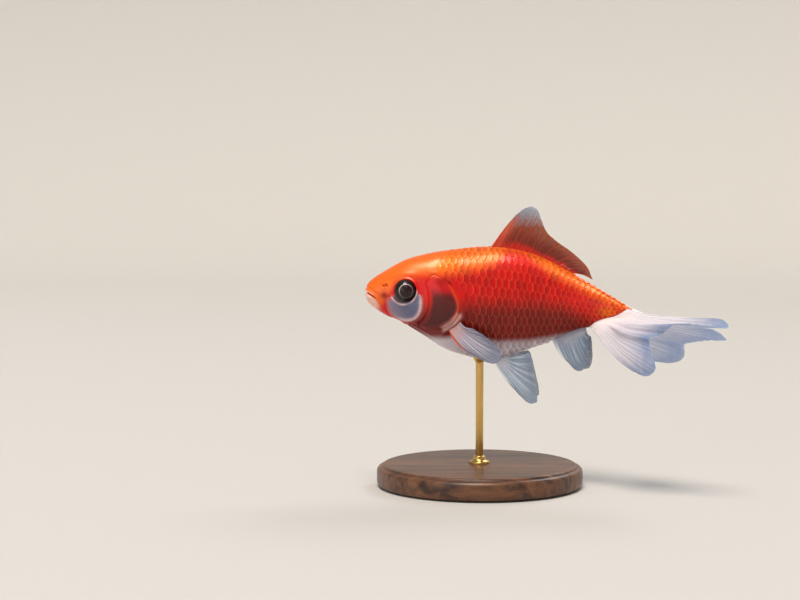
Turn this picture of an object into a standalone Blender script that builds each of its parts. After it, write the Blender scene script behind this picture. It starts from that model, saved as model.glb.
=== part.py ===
"""Goldfish with a double tail: a still, life-size model held by a plain display stand.

The body is a loft of upright oval sections strung along a spine that bends in plan: the head turns
a little to the fish's left and the tail curves to its left. Every place on the fish is given as
(along, out, height): the distance along the spine from the snout, the distance out from the
fish's own mid plane (left is positive) and the height above the level of the body's axis.
The sizes below are millimetres and degrees; the meshes are metres, +Z up, with the origin at the
centre of the stand's underside. The snout points to -X and the left side faces -Y.
"""
import math

import bmesh
import bpy
import numpy as np

MM = 0.001
GAP = 0.3                    # clearance between neighbouring solids

# Pose
AXIS_HEIGHT = 58.0           # level of the body's axis above the floor
SNOUT_X = -35.65             # the snout's place along X
BODY_LENGTH = 83.6           # snout to the root of the tail fins, along the spine
HEAD_TURN = 5.0              # the head's turn to the left at the snout
HEAD_TURN_LENGTH = 22.0      # how far back that turn fades out
BEND_START = 48.0            # where the tail's bend begins
BEND_RADIUS = 59.0           # radius of that bend in plan
SPINE_REACH = 130.0          # the spine line goes on past the tail fins' tips

# Body sections: along, back's height, belly's height, half width
BODY_SECTIONS = [
    (0.00, 2.2, 2.2, 0.0),
    (0.35, 4.0, 0.5, 2.0),
    (1.20, 5.6, -0.9, 3.1),
    (3.10, 7.2, -2.5, 4.3),
    (6.30, 9.2, -4.6, 5.4),
    (12.4, 12.5, -7.5, 6.8),
    (18.6, 14.3, -11.3, 8.2),
    (24.5, 15.4, -15.0, 9.2),
    (31.0, 16.2, -17.3, 9.6),
    (38.5, 16.6, -18.2, 9.3),
    (45.5, 16.0, -17.0, 8.3),
    (52.0, 14.4, -14.8, 6.9),
    (57.5, 12.1, -12.8, 5.8),
    (62.5, 9.5, -10.5, 4.8),
    (67.0, 7.0, -8.8, 4.0),
    (70.6, 5.0, -8.2, 3.3),
    (72.6, 3.9, -6.9, 2.9),
    (76.0, 2.1, -5.5, 2.3),
    (80.0, -0.1, -4.4, 1.7),
    (83.6, -1.8, -3.2, 0.8),
]
WIDEST_LEVEL = 0.52          # a section is widest this far up from belly to back
RING_POINTS = 26
HEAD_RING_SPACING = 1.9
TRUNK_RING_SPACING = 2.8
STALK_RING_SPACING = 2.2

# Where the body is parted, along the spine
HEAD_END = 26.0
TRUNK_END = 62.0

# Eyes
EYE_ALONG = 12.4
EYE_HEIGHT = 3.3
EYE_RADIUS = 3.6
EYE_FLATNESS = 0.83          # the eyeball's depth over its height
EYE_STANDS_OUT = 1.7         # how far the eyeball's front stands out of the cheek

# Gill covers: a rounded plate, let into the side of the head and trunk
GILL_ALONG = 23.6
GILL_HEIGHT = -1.8
GILL_HALF_LENGTH = 5.3
GILL_HALF_HEIGHT = 8.0
GILL_SQUARENESS = 2.6        # power of the plate's rounded outline
GILL_THICKNESS = 1.3

# Lower jaw: the wedge below the mouth slit, seen from the side (along, height)
JAW_WEDGE = [(-3.0, 2.1), (0.6, 2.1), (3.9, 0.1), (7.6, -7.5), (-3.0, -7.5)]

# Fins
FIN_THICKNESS = 0.6
FIN_RAYS = 21                # grid lines across a fin
FIN_STEPS = 4                # grid steps from root to margin

# Stand
BASE_RADIUS = 32.0
BASE_THICKNESS = 7.0
BASE_BEVEL = 0.9
COLLAR_RADIUS = 3.2
COLLAR_HEIGHT = 2.2
ROD_RADIUS = 1.2
ROD_ALONG = 35.6             # the rod meets the belly this far from the snout
ROD_IN_BODY = 5.0            # how far the rod goes up into its socket

COLOURS = {
    "orange": (0.80, 0.13, 0.02),
    "deep_orange": (0.62, 0.07, 0.02),
    "tail_orange": (0.85, 0.20, 0.03),
    "gill": (0.42, 0.06, 0.03),
    "lip": (0.85, 0.55, 0.45),
    "eye": (0.02, 0.02, 0.025),
    "dorsal": (0.60, 0.20, 0.10),
    "pale_fin": (0.72, 0.76, 0.82),
    "breast_fin": (0.80, 0.45, 0.30),
    "walnut": (0.12, 0.06, 0.03),
    "brass": (0.70, 0.52, 0.24),
}


# ---------------------------------------------------------------- the body's form

def spine_table():
    """The spine in plan: unit steps whose heading turns at the head and along the tail's bend."""
    along = np.linspace(0.0, SPINE_REACH, 2601)
    head = math.radians(HEAD_TURN) * np.clip(1.0 - along / HEAD_TURN_LENGTH, 0.0, 1.0)
    tail = np.clip(along - BEND_START, 0.0, BODY_LENGTH - BEND_START) / BEND_RADIUS
    heading = head - tail
    middle = (heading[1:] + heading[:-1]) / 2.0
    step = np.diff(along)
    x = SNOUT_X + np.concatenate([[0.0], np.cumsum(np.cos(middle) * step)])
    y = np.concatenate([[0.0], np.cumsum(np.sin(middle) * step)])
    y -= np.interp(BEND_START, along, y)
    return along, x, y, heading


SPINE = spine_table()


def place(along, out, height):
    """World place, in millimetres, of (along, out, height)."""
    steps, x, y, heading = SPINE
    along, out, height = np.broadcast_arrays(*(np.asarray(v, float) for v in (along, out, height)))
    turn = np.interp(along, steps, heading)
    world_x = np.interp(along, steps, x) + out * np.sin(turn)
    world_y = np.interp(along, steps, y) - out * np.cos(turn)
    return np.stack([world_x, world_y, height + AXIS_HEIGHT], axis=-1)


def smooth_rows(rows, positions):
    """Catmull-Rom curve through the rows of a table, read at positions counted in rows."""
    rows = np.asarray(rows, float)
    last = len(rows) - 1
    padded = np.vstack([2 * rows[0] - rows[1], rows, 2 * rows[-1] - rows[-2]])
    index = np.clip(np.floor(positions).astype(int), 0, last - 1)
    t = (positions - index)[:, None]
    p0, p1, p2, p3 = (padded[index + k] for k in range(4))
    return 0.5 * (2 * p1 + (p2 - p0) * t + (2 * p0 - 5 * p1 + 4 * p2 - p3) * t ** 2
                  + (3 * p1 - p0 - 3 * p2 + p3) * t ** 3)


SECTION_CURVE = smooth_rows(BODY_SECTIONS, np.linspace(0, len(BODY_SECTIONS) - 1, 1901))


def section(along):
    """Back, belly and half width of the body at a distance along the spine."""
    steps = np.maximum.accumulate(SECTION_CURVE[:, 0])
    return tuple(np.interp(along, steps, SECTION_CURVE[:, k]) for k in (1, 2, 3))


def ring(along):
    """One oval section: half ellipses above and below the widest level."""
    back, belly, half = section(along)
    middle = belly + WIDEST_LEVEL * (back - belly)
    angle = np.linspace(0.0, 2.0 * math.pi, RING_POINTS, endpoint=False)
    rise = np.where(np.cos(angle) > 0, back - middle, middle - belly)
    return place(along, half * np.sin(angle), middle + rise * np.cos(angle))


def half_width_at(along, height):
    """How far the skin is from the mid plane at a height."""
    back, belly, half = section(along)
    middle = belly + WIDEST_LEVEL * (back - belly)
    reach = np.where(height > middle, back - middle, middle - belly)
    return half * np.sqrt(np.clip(1.0 - ((height - middle) / reach) ** 2, 0.0, 1.0))


# ---------------------------------------------------------------- making objects

def clear_scene():
    for item in list(bpy.data.objects):
        bpy.data.objects.remove(item, do_unlink=True)


def new_collection(name):
    collection = bpy.data.collections.new(name)
    bpy.context.scene.collection.children.link(collection)
    return collection


def material(name, colour, roughness=0.45, metallic=0.0):
    mat = bpy.data.materials.new(name)
    mat.use_nodes = True
    shader = mat.node_tree.nodes["Principled BSDF"]
    shader.inputs["Base Color"].default_value = (*colour, 1.0)
    shader.inputs["Roughness"].default_value = roughness
    shader.inputs["Metallic"].default_value = metallic
    return mat


def add_mesh(name, points, faces, collection, mat=None):
    """A mesh object from points in millimetres."""
    mesh = bpy.data.meshes.new(name)
    mesh.from_pydata((np.asarray(points) * MM).tolist(), [], faces)
    mesh.shade_smooth()
    mesh.set_sharp_from_angle(angle=math.radians(50))
    obj = bpy.data.objects.new(name, mesh)
    collection.objects.link(obj)
    if mat:
        mesh.materials.append(mat)
    return obj


def grid_faces(rows, columns, closed=False):
    """Quads of a grid whose points run row by row; closed joins the last column to the first."""
    faces = []
    for r in range(rows - 1):
        for c in range(columns if closed else columns - 1):
            d = (c + 1) % columns
            a, b = r * columns, (r + 1) * columns
            faces.append((a + c, b + c, b + d, a + d))
    return faces


def loft(name, start, end, spacing, collection, mat):
    """A closed length of the body between two places along the spine."""
    count = max(2, round((end - start) / spacing) + 1)
    fraction = np.linspace(0.0, 1.0, count)
    if start == 0.0:
        fraction = fraction ** 1.7           # rings crowd together towards the rounded snout
    places = start + (end - start) * fraction
    rings = [ring(a) for a in places if a > 0.0]
    points = np.vstack(rings)
    faces = grid_faces(len(rings), RING_POINTS, closed=True)
    last = (len(rings) - 1) * RING_POINTS
    faces.append(tuple(last + k for k in reversed(range(RING_POINTS))))
    if start == 0.0:
        tip = len(points)
        points = np.vstack([points, ring(0.0)[:1]])
        faces += [(tip, k, (k + 1) % RING_POINTS) for k in range(RING_POINTS)]
    else:
        faces.append(tuple(range(RING_POINTS)))
    obj = add_mesh(name, points, faces, collection, mat)
    face_outward(obj)
    return obj


def face_outward(obj):
    mesh = bmesh.new()
    mesh.from_mesh(obj.data)
    bmesh.ops.recalc_face_normals(mesh, faces=mesh.faces)
    mesh.to_mesh(obj.data)
    mesh.free()


def solidify(obj, thickness, offset):
    wall = obj.modifiers.new("wall", "SOLIDIFY")
    wall.thickness = thickness * MM
    wall.offset = offset


def as_cutter(obj):
    obj.hide_render = True
    obj.display_type = "WIRE"
    return obj


def cut(obj, cutter, operation="DIFFERENCE"):
    boolean = obj.modifiers.new("cut_" + cutter.name, "BOOLEAN")
    boolean.operation = operation
    boolean.object = cutter
    boolean.solver = "EXACT"


# ---------------------------------------------------------------- head pieces

def eye_centre(side):
    """The eyeball's centre, so that its front stands out of the cheek by a set amount."""
    out = half_width_at(EYE_ALONG, EYE_HEIGHT) + EYE_STANDS_OUT - EYE_RADIUS * EYE_FLATNESS
    return place(EYE_ALONG, side * out, EYE_HEIGHT)


def eyeball(name, side, grow, collection, mat=None):
    """A sphere flattened along the fish's left-right line, grown all over for a socket."""
    bpy.ops.mesh.primitive_uv_sphere_add(segments=20, ring_count=10, radius=MM,
                                         location=eye_centre(side) * MM)
    obj = bpy.context.object
    obj.name = name
    obj.data.name = name
    heading = np.interp(EYE_ALONG, SPINE[0], SPINE[3])
    obj.rotation_euler = (math.radians(90), 0.0, heading)
    radius = EYE_RADIUS + grow
    obj.scale = (radius, radius, EYE_RADIUS * EYE_FLATNESS + grow)
    obj.data.shade_smooth()
    for owner in list(obj.users_collection):
        owner.objects.unlink(obj)
    collection.objects.link(obj)
    if mat:
        obj.data.materials.append(mat)
    return obj


def gill_plate(name, side, grow, thickness, offset, collection, mat=None):
    """A rounded plate on the side of the body: rings of a superellipse, solidified inwards."""
    rings, spokes = 3, 26
    angle = np.linspace(0.0, 2.0 * math.pi, spokes, endpoint=False)
    power = 2.0 / GILL_SQUARENESS
    across = np.sign(np.cos(angle)) * np.abs(np.cos(angle)) ** power
    up = np.sign(np.sin(angle)) * np.abs(np.sin(angle)) ** power
    fraction = np.linspace(1.0, 0.0, rings, endpoint=False)[:, None]
    along = GILL_ALONG + fraction * across * (GILL_HALF_LENGTH + grow)
    height = GILL_HEIGHT + fraction * up * (GILL_HALF_HEIGHT + grow)
    along = np.append(along.ravel(), GILL_ALONG)
    height = np.append(height.ravel(), GILL_HEIGHT)
    points = place(along, side * half_width_at(along, height), height)
    centre = len(points) - 1
    faces = grid_faces(rings, spokes, closed=True)
    inner = (rings - 1) * spokes
    faces += [(inner + k, centre, inner + (k + 1) % spokes) for k in range(spokes)]
    if side > 0:
        faces = [tuple(reversed(f)) for f in faces]
    obj = add_mesh(name, points, faces, collection, mat)
    solidify(obj, thickness, offset)
    return obj


def jaw_block(name, grow, collection):
    """The wedge of the lower jaw, carried right across the head."""
    bottom = min(h for _, h in JAW_WEDGE)
    outline = [(a + (grow if a > 0 else 0.0), h + (grow if h > bottom else 0.0)) for a, h in JAW_WEDGE]
    reach = 9.0
    points = [place(a, side * reach, h) for side in (-1, 1) for a, h in outline]
    n = len(outline)
    faces = [tuple(range(n)), tuple(reversed(range(n, 2 * n)))]
    faces += [(k, n + k, n + (k + 1) % n, (k + 1) % n) for k in range(n)]
    obj = add_mesh(name, points, faces, collection)
    face_outward(obj)
    return obj


# ---------------------------------------------------------------- fins

def resample(rows, count):
    return smooth_rows(rows, np.linspace(0, len(rows) - 1, count))


def fin(name, root, margin, bow, collection, mat):
    """A fin blade: straight rays from root to margin, bowed out of line by a half sine wave.

    root and margin are (along, out, height) curves from the leading ray to the last one.
    """
    root = resample(root, FIN_RAYS)[:, None, :]
    margin = resample(margin, FIN_RAYS)[:, None, :]
    step = np.linspace(0.0, 1.0, FIN_STEPS + 1)[None, :, None]
    blade = root + (margin - root) * step + np.asarray(bow) * np.sin(math.pi * step)
    points = place(blade[..., 0], blade[..., 1], blade[..., 2]).reshape(-1, 3)
    obj = add_mesh(name, points, grid_faces(FIN_RAYS, FIN_STEPS + 1), collection, mat)
    solidify(obj, FIN_THICKNESS, 0.0)
    return obj


def mirrored(curve):
    return [(along, -out, height) for along, out, height in curve]


def ridge(start, end, top, count=5):
    """A root curve along the back (top) or the belly, just clear of the skin."""
    curve = []
    for along in np.linspace(start, end, count):
        back, belly, _ = section(along)
        curve.append((along, 0.0, back + GAP + 0.1 if top else belly - GAP - 0.1))
    return curve


DORSAL_MARGIN = [(46.6, 0.0, 26.3), (49.2, 0.0, 28.3), (51.4, 0.0, 28.9), (53.4, 0.0, 27.8),
                 (54.7, 0.0, 24.5), (56.3, 0.0, 21.0), (59.6, 0.0, 18.0), (63.3, 0.0, 15.4),
                 (66.9, 0.0, 12.5), (69.3, 0.0, 10.0), (70.7, 0.0, 6.5)]

PECTORAL_ROOT = [(25.3, 8.1, -7.8), (26.9, 8.9, -6.3), (28.6, 9.6, -4.9)]
PECTORAL_MARGIN = [(32.6, 10.2, -15.6), (36.0, 10.7, -17.2), (39.4, 11.2, -18.2),
                   (42.6, 11.4, -17.5), (44.6, 11.5, -15.4), (44.4, 11.5, -12.8),
                   (41.4, 11.3, -10.2), (36.6, 10.8, -7.9)]

PELVIC_ROOT = [(39.9, 2.6, -18.6), (41.8, 3.3, -18.3), (43.9, 3.8, -17.7)]
PELVIC_MARGIN = [(46.1, 8.0, -26.2), (49.7, 10.0, -30.5), (53.0, 10.0, -31.0),
                 (53.9, 9.5, -29.3), (52.7, 7.5, -22.5), (51.6, 5.9, -17.5), (50.6, 4.6, -16.0)]

ANAL_ROOT = [(58.4, 0.8, -13.0), (63.6, 0.9, -10.9), (68.6, 0.9, -9.3)]
ANAL_MARGIN = [(62.9, 2.8, -18.5), (65.3, 3.6, -20.5), (67.1, 4.0, -21.4), (68.8, 4.0, -21.0),
               (69.7, 3.5, -18.6), (69.9, 2.4, -14.9), (69.9, 1.5, -11.2)]

TAIL_ROOT = [(84.2, 0.6, -2.4), (80.2, 1.1, -4.9), (76.2, 1.4, -6.1), (73.0, 1.5, -7.5),
             (71.2, 1.1, -9.0)]
LEFT_TAIL_MARGIN = [(109.9, 1.6, -3.9), (115.0, 2.2, -3.8), (117.4, 4.4, -5.5),
                    (114.4, 6.2, -5.6), (109.0, 7.6, -5.3), (103.8, 8.6, -5.3), (99.0, 9.4, -6.8),
                    (95.8, 10.2, -9.0), (95.4, 11.0, -11.6), (97.0, 12.0, -14.8),
                    (98.4, 12.6, -17.8), (96.8, 12.4, -20.0), (93.4, 11.6, -20.9),
                    (88.8, 10.0, -19.8)]
RIGHT_TAIL_MARGIN = [(105.9, -1.5, -6.2), (110.7, -2.0, -7.6), (113.6, -2.5, -10.3),
                     (107.6, -3.5, -10.7), (101.5, -5.0, -11.4), (96.3, -7.0, -12.4),
                     (96.9, -8.5, -14.4), (96.6, -9.5, -16.4), (94.8, -10.0, -18.1),
                     (91.6, -9.5, -18.9), (86.9, -8.5, -18.6)]


# ---------------------------------------------------------------- the model

def make_body(parts, cutters):
    head = loft("head", 0.0, HEAD_END, HEAD_RING_SPACING, parts,
                material("head_skin", COLOURS["orange"]))
    trunk = loft("trunk", HEAD_END + GAP, TRUNK_END, TRUNK_RING_SPACING, parts,
                 material("trunk_skin", COLOURS["deep_orange"]))
    loft("tail_stalk", TRUNK_END + GAP, BODY_LENGTH, STALK_RING_SPACING, parts,
         material("tail_stalk_skin", COLOURS["tail_orange"]))
    jaw = loft("lower_jaw", 0.0, HEAD_END, HEAD_RING_SPACING, parts,
               material("jaw_skin", COLOURS["lip"]))
    cut(head, as_cutter(jaw_block("jaw_room", GAP, cutters)))
    cut(jaw, as_cutter(jaw_block("jaw_wedge", 0.0, cutters)), "INTERSECT")
    gill_material = material("gill_cover_skin", COLOURS["gill"])
    eye_material = material("eye_surface", COLOURS["eye"], roughness=0.08)
    for side, word in ((1, "left"), (-1, "right")):
        eyeball("eye_" + word, side, 0.0, parts, eye_material)
        socket = as_cutter(eyeball("socket_" + word, side, GAP, cutters))
        cut(head, socket)
        gill_plate("gill_cover_" + word, side, 0.0, GILL_THICKNESS, -1.0, parts, gill_material)
        depth = GILL_THICKNESS + 2.0 * GAP
        room = as_cutter(gill_plate("gill_room_" + word, side, GAP, 2.0 * depth, 0.0, cutters))
        cut(head, room)
        cut(trunk, room)
    return trunk


def make_fins(parts):
    dorsal = material("dorsal_fin_web", COLOURS["dorsal"])
    pale = material("pale_fin_web", COLOURS["pale_fin"])
    breast = material("breast_fin_web", COLOURS["breast_fin"])
    fin("dorsal_fin", ridge(39.4, 65.3, top=True), DORSAL_MARGIN, (0.0, 0.0, 0.4), parts, dorsal)
    pairs = [
        ("pectoral_fin", PECTORAL_ROOT, PECTORAL_MARGIN, (-0.6, 0.6, -0.6), breast),
        ("pelvic_fin", PELVIC_ROOT, PELVIC_MARGIN, (-0.6, 0.3, -0.2), pale),
        ("anal_fin", ANAL_ROOT, ANAL_MARGIN, (-0.4, 0.2, -0.2), pale),
    ]
    for name, root, margin, bow, mat in pairs:
        fin(name + "_left", root, margin, bow, parts, mat)
        fin(name + "_right", mirrored(root), mirrored(margin), (bow[0], -bow[1], bow[2]), parts, mat)
    fin("tail_fin_left", TAIL_ROOT, LEFT_TAIL_MARGIN, (-0.6, 1.0, -0.6), parts, pale)
    fin("tail_fin_right", mirrored(TAIL_ROOT), RIGHT_TAIL_MARGIN, (-0.6, -1.0, -0.6), parts, pale)


def cylinder(name, radius, low, high, sides, x, y, collection, mat=None):
    bpy.ops.mesh.primitive_cylinder_add(vertices=sides, radius=radius * MM, depth=(high - low) * MM,
                                        location=(x * MM, y * MM, (low + high) / 2.0 * MM))
    obj = bpy.context.object
    obj.name = name
    obj.data.name = name
    for owner in list(obj.users_collection):
        owner.objects.unlink(obj)
    collection.objects.link(obj)
    if mat:
        obj.data.materials.append(mat)
    return obj


def make_stand(parts, cutters, trunk):
    walnut = material("oiled_walnut", COLOURS["walnut"], roughness=0.4)
    brass = material("brushed_brass", COLOURS["brass"], roughness=0.3, metallic=1.0)
    x, y, _ = place(ROD_ALONG, 0.0, 0.0)
    belly = AXIS_HEIGHT + float(section(ROD_ALONG)[1])
    rod_low = BASE_THICKNESS + GAP
    rod_high = belly + ROD_IN_BODY
    base = cylinder("stand_base", BASE_RADIUS, 0.0, BASE_THICKNESS, 48, 0.0, 0.0, parts, walnut)
    bevel = base.modifiers.new("edge", "BEVEL")
    bevel.width = BASE_BEVEL * MM
    bevel.segments = 2
    bevel.limit_method = "ANGLE"
    cylinder("stand_rod", ROD_RADIUS, rod_low, rod_high, 20, x, y, parts, brass)
    collar = cylinder("stand_collar", COLLAR_RADIUS, rod_low, rod_low + COLLAR_HEIGHT, 28, x, y,
                      parts, brass)
    hole = cylinder("collar_hole", ROD_RADIUS + GAP, 0.0, rod_high, 20, x, y, cutters)
    cut(collar, as_cutter(hole))
    socket = cylinder("rod_socket", ROD_RADIUS + GAP, belly - 3.0, rod_high + GAP, 20, x, y, cutters)
    cut(trunk, as_cutter(socket))


def main():
    clear_scene()
    parts = new_collection("goldfish")
    cutters = new_collection("goldfish_cutters")
    trunk = make_body(parts, cutters)
    make_fins(parts)
    make_stand(parts, cutters, trunk)


main()
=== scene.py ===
# A life-size model of a goldfish with a double tail, held over a walnut base by a brass rod.
# Places on the fish are (along, out, height) in millimetres: how far along the spine from the snout,
# how far out from the fish's middle to its left, and how high above the level of the body's axis.
import math

import bpy
import numpy as np
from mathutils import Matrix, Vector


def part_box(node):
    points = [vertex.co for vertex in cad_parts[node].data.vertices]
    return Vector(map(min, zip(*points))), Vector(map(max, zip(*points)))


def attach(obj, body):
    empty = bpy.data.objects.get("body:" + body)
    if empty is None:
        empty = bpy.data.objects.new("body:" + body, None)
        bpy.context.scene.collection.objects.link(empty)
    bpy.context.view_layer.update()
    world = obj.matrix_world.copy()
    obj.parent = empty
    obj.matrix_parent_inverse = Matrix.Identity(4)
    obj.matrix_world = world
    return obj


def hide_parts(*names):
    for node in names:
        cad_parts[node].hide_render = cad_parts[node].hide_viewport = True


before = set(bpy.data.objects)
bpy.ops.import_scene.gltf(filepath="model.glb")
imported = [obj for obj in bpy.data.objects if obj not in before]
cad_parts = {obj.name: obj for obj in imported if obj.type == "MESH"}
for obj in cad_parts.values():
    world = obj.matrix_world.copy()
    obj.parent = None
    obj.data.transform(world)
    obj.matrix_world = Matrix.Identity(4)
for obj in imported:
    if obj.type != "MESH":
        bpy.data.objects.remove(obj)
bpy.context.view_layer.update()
millimetre = 0.001
tau = 2.0 * math.pi

# the body's form, as in the frame's solids but a little slimmer at the snout
body = {
    "axisHeight": 58.0,
    "snoutX": -35.65,
    "length": 83.6,
    "headTurn": 5.0,            # degrees to the left at the snout
    "headTurnLength": 22.0,
    "bendStart": 48.0,          # where the tail begins to bend to the left
    "bendRadius": 59.0,
    "spineReach": 130.0,
    "widestLevel": 0.52,        # a section is widest this far up from belly to back
    # along, back's height, belly's height, half width
    "sections": [
        (0.00, 2.2, 2.2, 0.0), (0.35, 4.0, 0.5, 1.6), (1.20, 5.6, -0.9, 2.5), (3.10, 7.2, -2.5, 3.6),
        (6.30, 9.2, -4.6, 4.9), (12.4, 12.5, -7.5, 6.7), (18.6, 14.3, -11.3, 8.2),
        (24.5, 15.4, -15.0, 9.2), (31.0, 16.2, -17.3, 9.6), (38.5, 16.6, -18.2, 9.3),
        (45.5, 16.0, -17.0, 8.3), (52.0, 14.4, -14.8, 6.9), (57.5, 12.1, -12.8, 5.8),
        (62.5, 9.5, -10.5, 4.8), (67.0, 7.0, -8.8, 4.0), (70.6, 5.0, -8.2, 3.3),
        (72.6, 3.9, -6.9, 2.9), (76.0, 2.1, -5.5, 2.3), (80.0, -0.1, -4.4, 1.7),
        (83.6, -1.8, -3.2, 0.8),
    ],
}


def ramp(x, low, high):
    # smooth step: 0 below low, 1 above high, and 3t^2 - 2t^3 between them
    t = np.clip((x - low) / (high - low), 0.0, 1.0)
    return t * t * (3.0 - 2.0 * t)


def span(x, low, full, fade, end):
    # rises smoothly from low to full and falls again from fade to end
    return ramp(x, low, full) * (1.0 - ramp(x, fade, end))


def hump(x, centre, width):
    # bell curve: e to the minus square of the distance from centre over width
    return np.exp(-((x - centre) / width) ** 2)


def spots(a, h, table):
    # for each (along, height, width, strength): strength times a bell curve of the distance to it
    return [strength * hump(np.hypot(a - x, h - y), 0.0, width) for x, y, width, strength in table]


def alongCurve(x, pairs):
    # a value read off straight runs between (x, value) pairs
    xs, values = zip(*pairs)
    return np.interp(x, xs, values)


def smoothRows(rows, positions):
    # Catmull-Rom curve through the rows of a table, read at positions counted in rows
    rows = np.asarray(rows, float)
    last = len(rows) - 1
    padded = np.vstack([2 * rows[0] - rows[1], rows, 2 * rows[-1] - rows[-2]])
    index = np.clip(np.floor(positions).astype(int), 0, last - 1)
    t = (positions - index)[:, None]
    p0, p1, p2, p3 = (padded[index + k] for k in range(4))
    return 0.5 * (2 * p1 + (p2 - p0) * t + (2 * p0 - 5 * p1 + 4 * p2 - p3) * t ** 2
                  + (3 * p1 - p0 - 3 * p2 + p3) * t ** 3)


def resample(rows, count):
    # the smooth curve through the rows, read at even steps
    return smoothRows(rows, np.linspace(0, len(rows) - 1, count))


def nearLine(x, y, line, closed=False, samples=56):
    # distance from each point to a smooth line drawn on the fish's side view, the share of its
    # length at the nearest place, and the distance with a sign, positive on the line's left
    if closed:
        fine = smoothRows([line[-1], *line, *line[:2]], 1 + np.linspace(0, len(line), samples))
    else:
        fine = resample(line, samples)
    stepX, stepY = np.diff(fine, axis=0).T
    dx, dy = x[..., None] - fine[:-1, 0], y[..., None] - fine[:-1, 1]
    part = np.clip((dx * stepX + dy * stepY) / (stepX ** 2 + stepY ** 2), 0.0, 1.0)
    square = (dx - part * stepX) ** 2 + (dy - part * stepY) ** 2
    best = square.argmin(-1)[..., None]
    square, part, cross = (np.take_along_axis(v, best, -1)[..., 0]
                           for v in (square, part, stepX * dy - stepY * dx))
    distance = np.sqrt(square)
    share = (best[..., 0] + part) / len(stepX)
    return distance, share, distance * np.where(cross >= 0, 1.0, -1.0)


def folds(a, h, table):
    # for each line: strokes of rise times a bell curve of the distance to its left, less offset, over
    # width, faded in and out by the share of the line's length
    total = np.zeros(a.shape)
    for line, fades, strokes in table:
        _, share, side = nearLine(a, h, line)
        strength = sum(rise * hump(side, offset, width) for rise, offset, width in strokes)
        total += strength * span(share, *fades)
    return total


def spineTable():
    # the spine in plan: unit steps whose heading is the head's turn, fading out along the head, less
    # the distance past the start of the tail's bend over the bend's radius
    along = np.linspace(0.0, body["spineReach"], 5201)
    headPart = np.clip(1.0 - along / body["headTurnLength"], 0.0, 1.0)
    bent = np.clip(along - body["bendStart"], 0.0, body["length"] - body["bendStart"])
    heading = math.radians(body["headTurn"]) * headPart - bent / body["bendRadius"]
    middle = (heading[1:] + heading[:-1]) / 2.0
    step = np.diff(along)
    x = body["snoutX"] + np.concatenate([[0.0], np.cumsum(np.cos(middle) * step)])
    y = np.concatenate([[0.0], np.cumsum(np.sin(middle) * step)])
    y -= np.interp(body["bendStart"], along, y)
    return along, x, y, heading


spine = spineTable()


def place(along, out, height):
    # world place in millimetres: the spine's point, moved square to its heading by out, and up
    steps, x, y, heading = spine
    along, out, height = np.broadcast_arrays(*(np.asarray(v, float) for v in (along, out, height)))
    turn = np.interp(along, steps, heading)
    worldX = np.interp(along, steps, x) + out * np.sin(turn)
    worldY = np.interp(along, steps, y) - out * np.cos(turn)
    return np.stack([worldX, worldY, height + body["axisHeight"]], axis=-1)


sectionCurve = resample(body["sections"], 7601)
sectionSteps = np.maximum.accumulate(sectionCurve[:, 0])


def sectionAt(along):
    # back, belly and half width, and the height where the section is widest
    back, belly, half = (np.interp(along, sectionSteps, sectionCurve[:, k]) for k in (1, 2, 3))
    return back, belly, half, belly + body["widestLevel"] * (back - belly)


def arcTable():
    # for stations along the body: half its girth, and the section angles at even shares of that half,
    # from the ridge of the back (0) to the keel of the belly (1)
    stations = body["length"] * np.linspace(0.0, 1.0, 1400) ** 1.7
    back, belly, half, middle = (v[:, None] for v in sectionAt(np.maximum(stations, 0.002)))
    angle = np.linspace(0.0, math.pi, 241)[None, :]
    out = half * np.sin(angle)
    height = middle + np.where(np.cos(angle) > 0, back - middle, middle - belly) * np.cos(angle)
    length = np.hypot(np.diff(out), np.diff(height)).cumsum(1)
    length = np.concatenate([np.zeros((len(stations), 1)), length], axis=1)
    shares = np.linspace(0.0, 1.0, 193)
    angles = np.stack([np.interp(shares, row / row[-1], angle[0]) for row in length])
    return stations, length[:, -1], angles


arcStations, arcHalfGirth, arcAngles = arcTable()


def halfGirth(along):
    # half the length round a section, read off the table
    return np.interp(along, arcStations, arcHalfGirth)


def flankPoint(along, turn):
    # (out, height) on the plain body. turn is the share of half the girth from the back's ridge,
    # positive on the left side, and wraps round at the belly's keel
    along, turn = np.broadcast_arrays(np.asarray(along, float), np.asarray(turn, float))
    turn = (turn + 1.0) % 2.0 - 1.0
    row = np.interp(along, arcStations, np.arange(len(arcStations)))
    column = np.abs(turn) * (arcAngles.shape[1] - 1)
    r = np.minimum(row.astype(int), arcAngles.shape[0] - 2)
    c = np.minimum(column.astype(int), arcAngles.shape[1] - 2)
    fr, fc = row - r, column - c
    angle = ((1 - fr) * ((1 - fc) * arcAngles[r, c] + fc * arcAngles[r, c + 1])
             + fr * ((1 - fc) * arcAngles[r + 1, c] + fc * arcAngles[r + 1, c + 1]))
    back, belly, half, middle = sectionAt(along)
    rise = np.where(np.cos(angle) > 0, back - middle, middle - belly)
    return np.where(turn < 0, -1.0, 1.0) * half * np.sin(angle), middle + rise * np.cos(angle)


def unit(v):
    # each vector over its length
    return v / np.maximum(np.linalg.norm(v, axis=-1, keepdims=True), 1e-9)


def plainSkin(along, turn):
    # world place on the plain body
    return place(along, *flankPoint(along, turn))


def outwardAt(along, turn):
    # the outward normal: a small step round the body crossed with a small step along it
    step = 0.06
    across = plainSkin(along, turn + 0.004) - plainSkin(along, turn - 0.004)
    ahead = plainSkin(along + step, turn) - plainSkin(np.maximum(along - step, 0.0), turn)
    return unit(np.cross(across, ahead))


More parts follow.
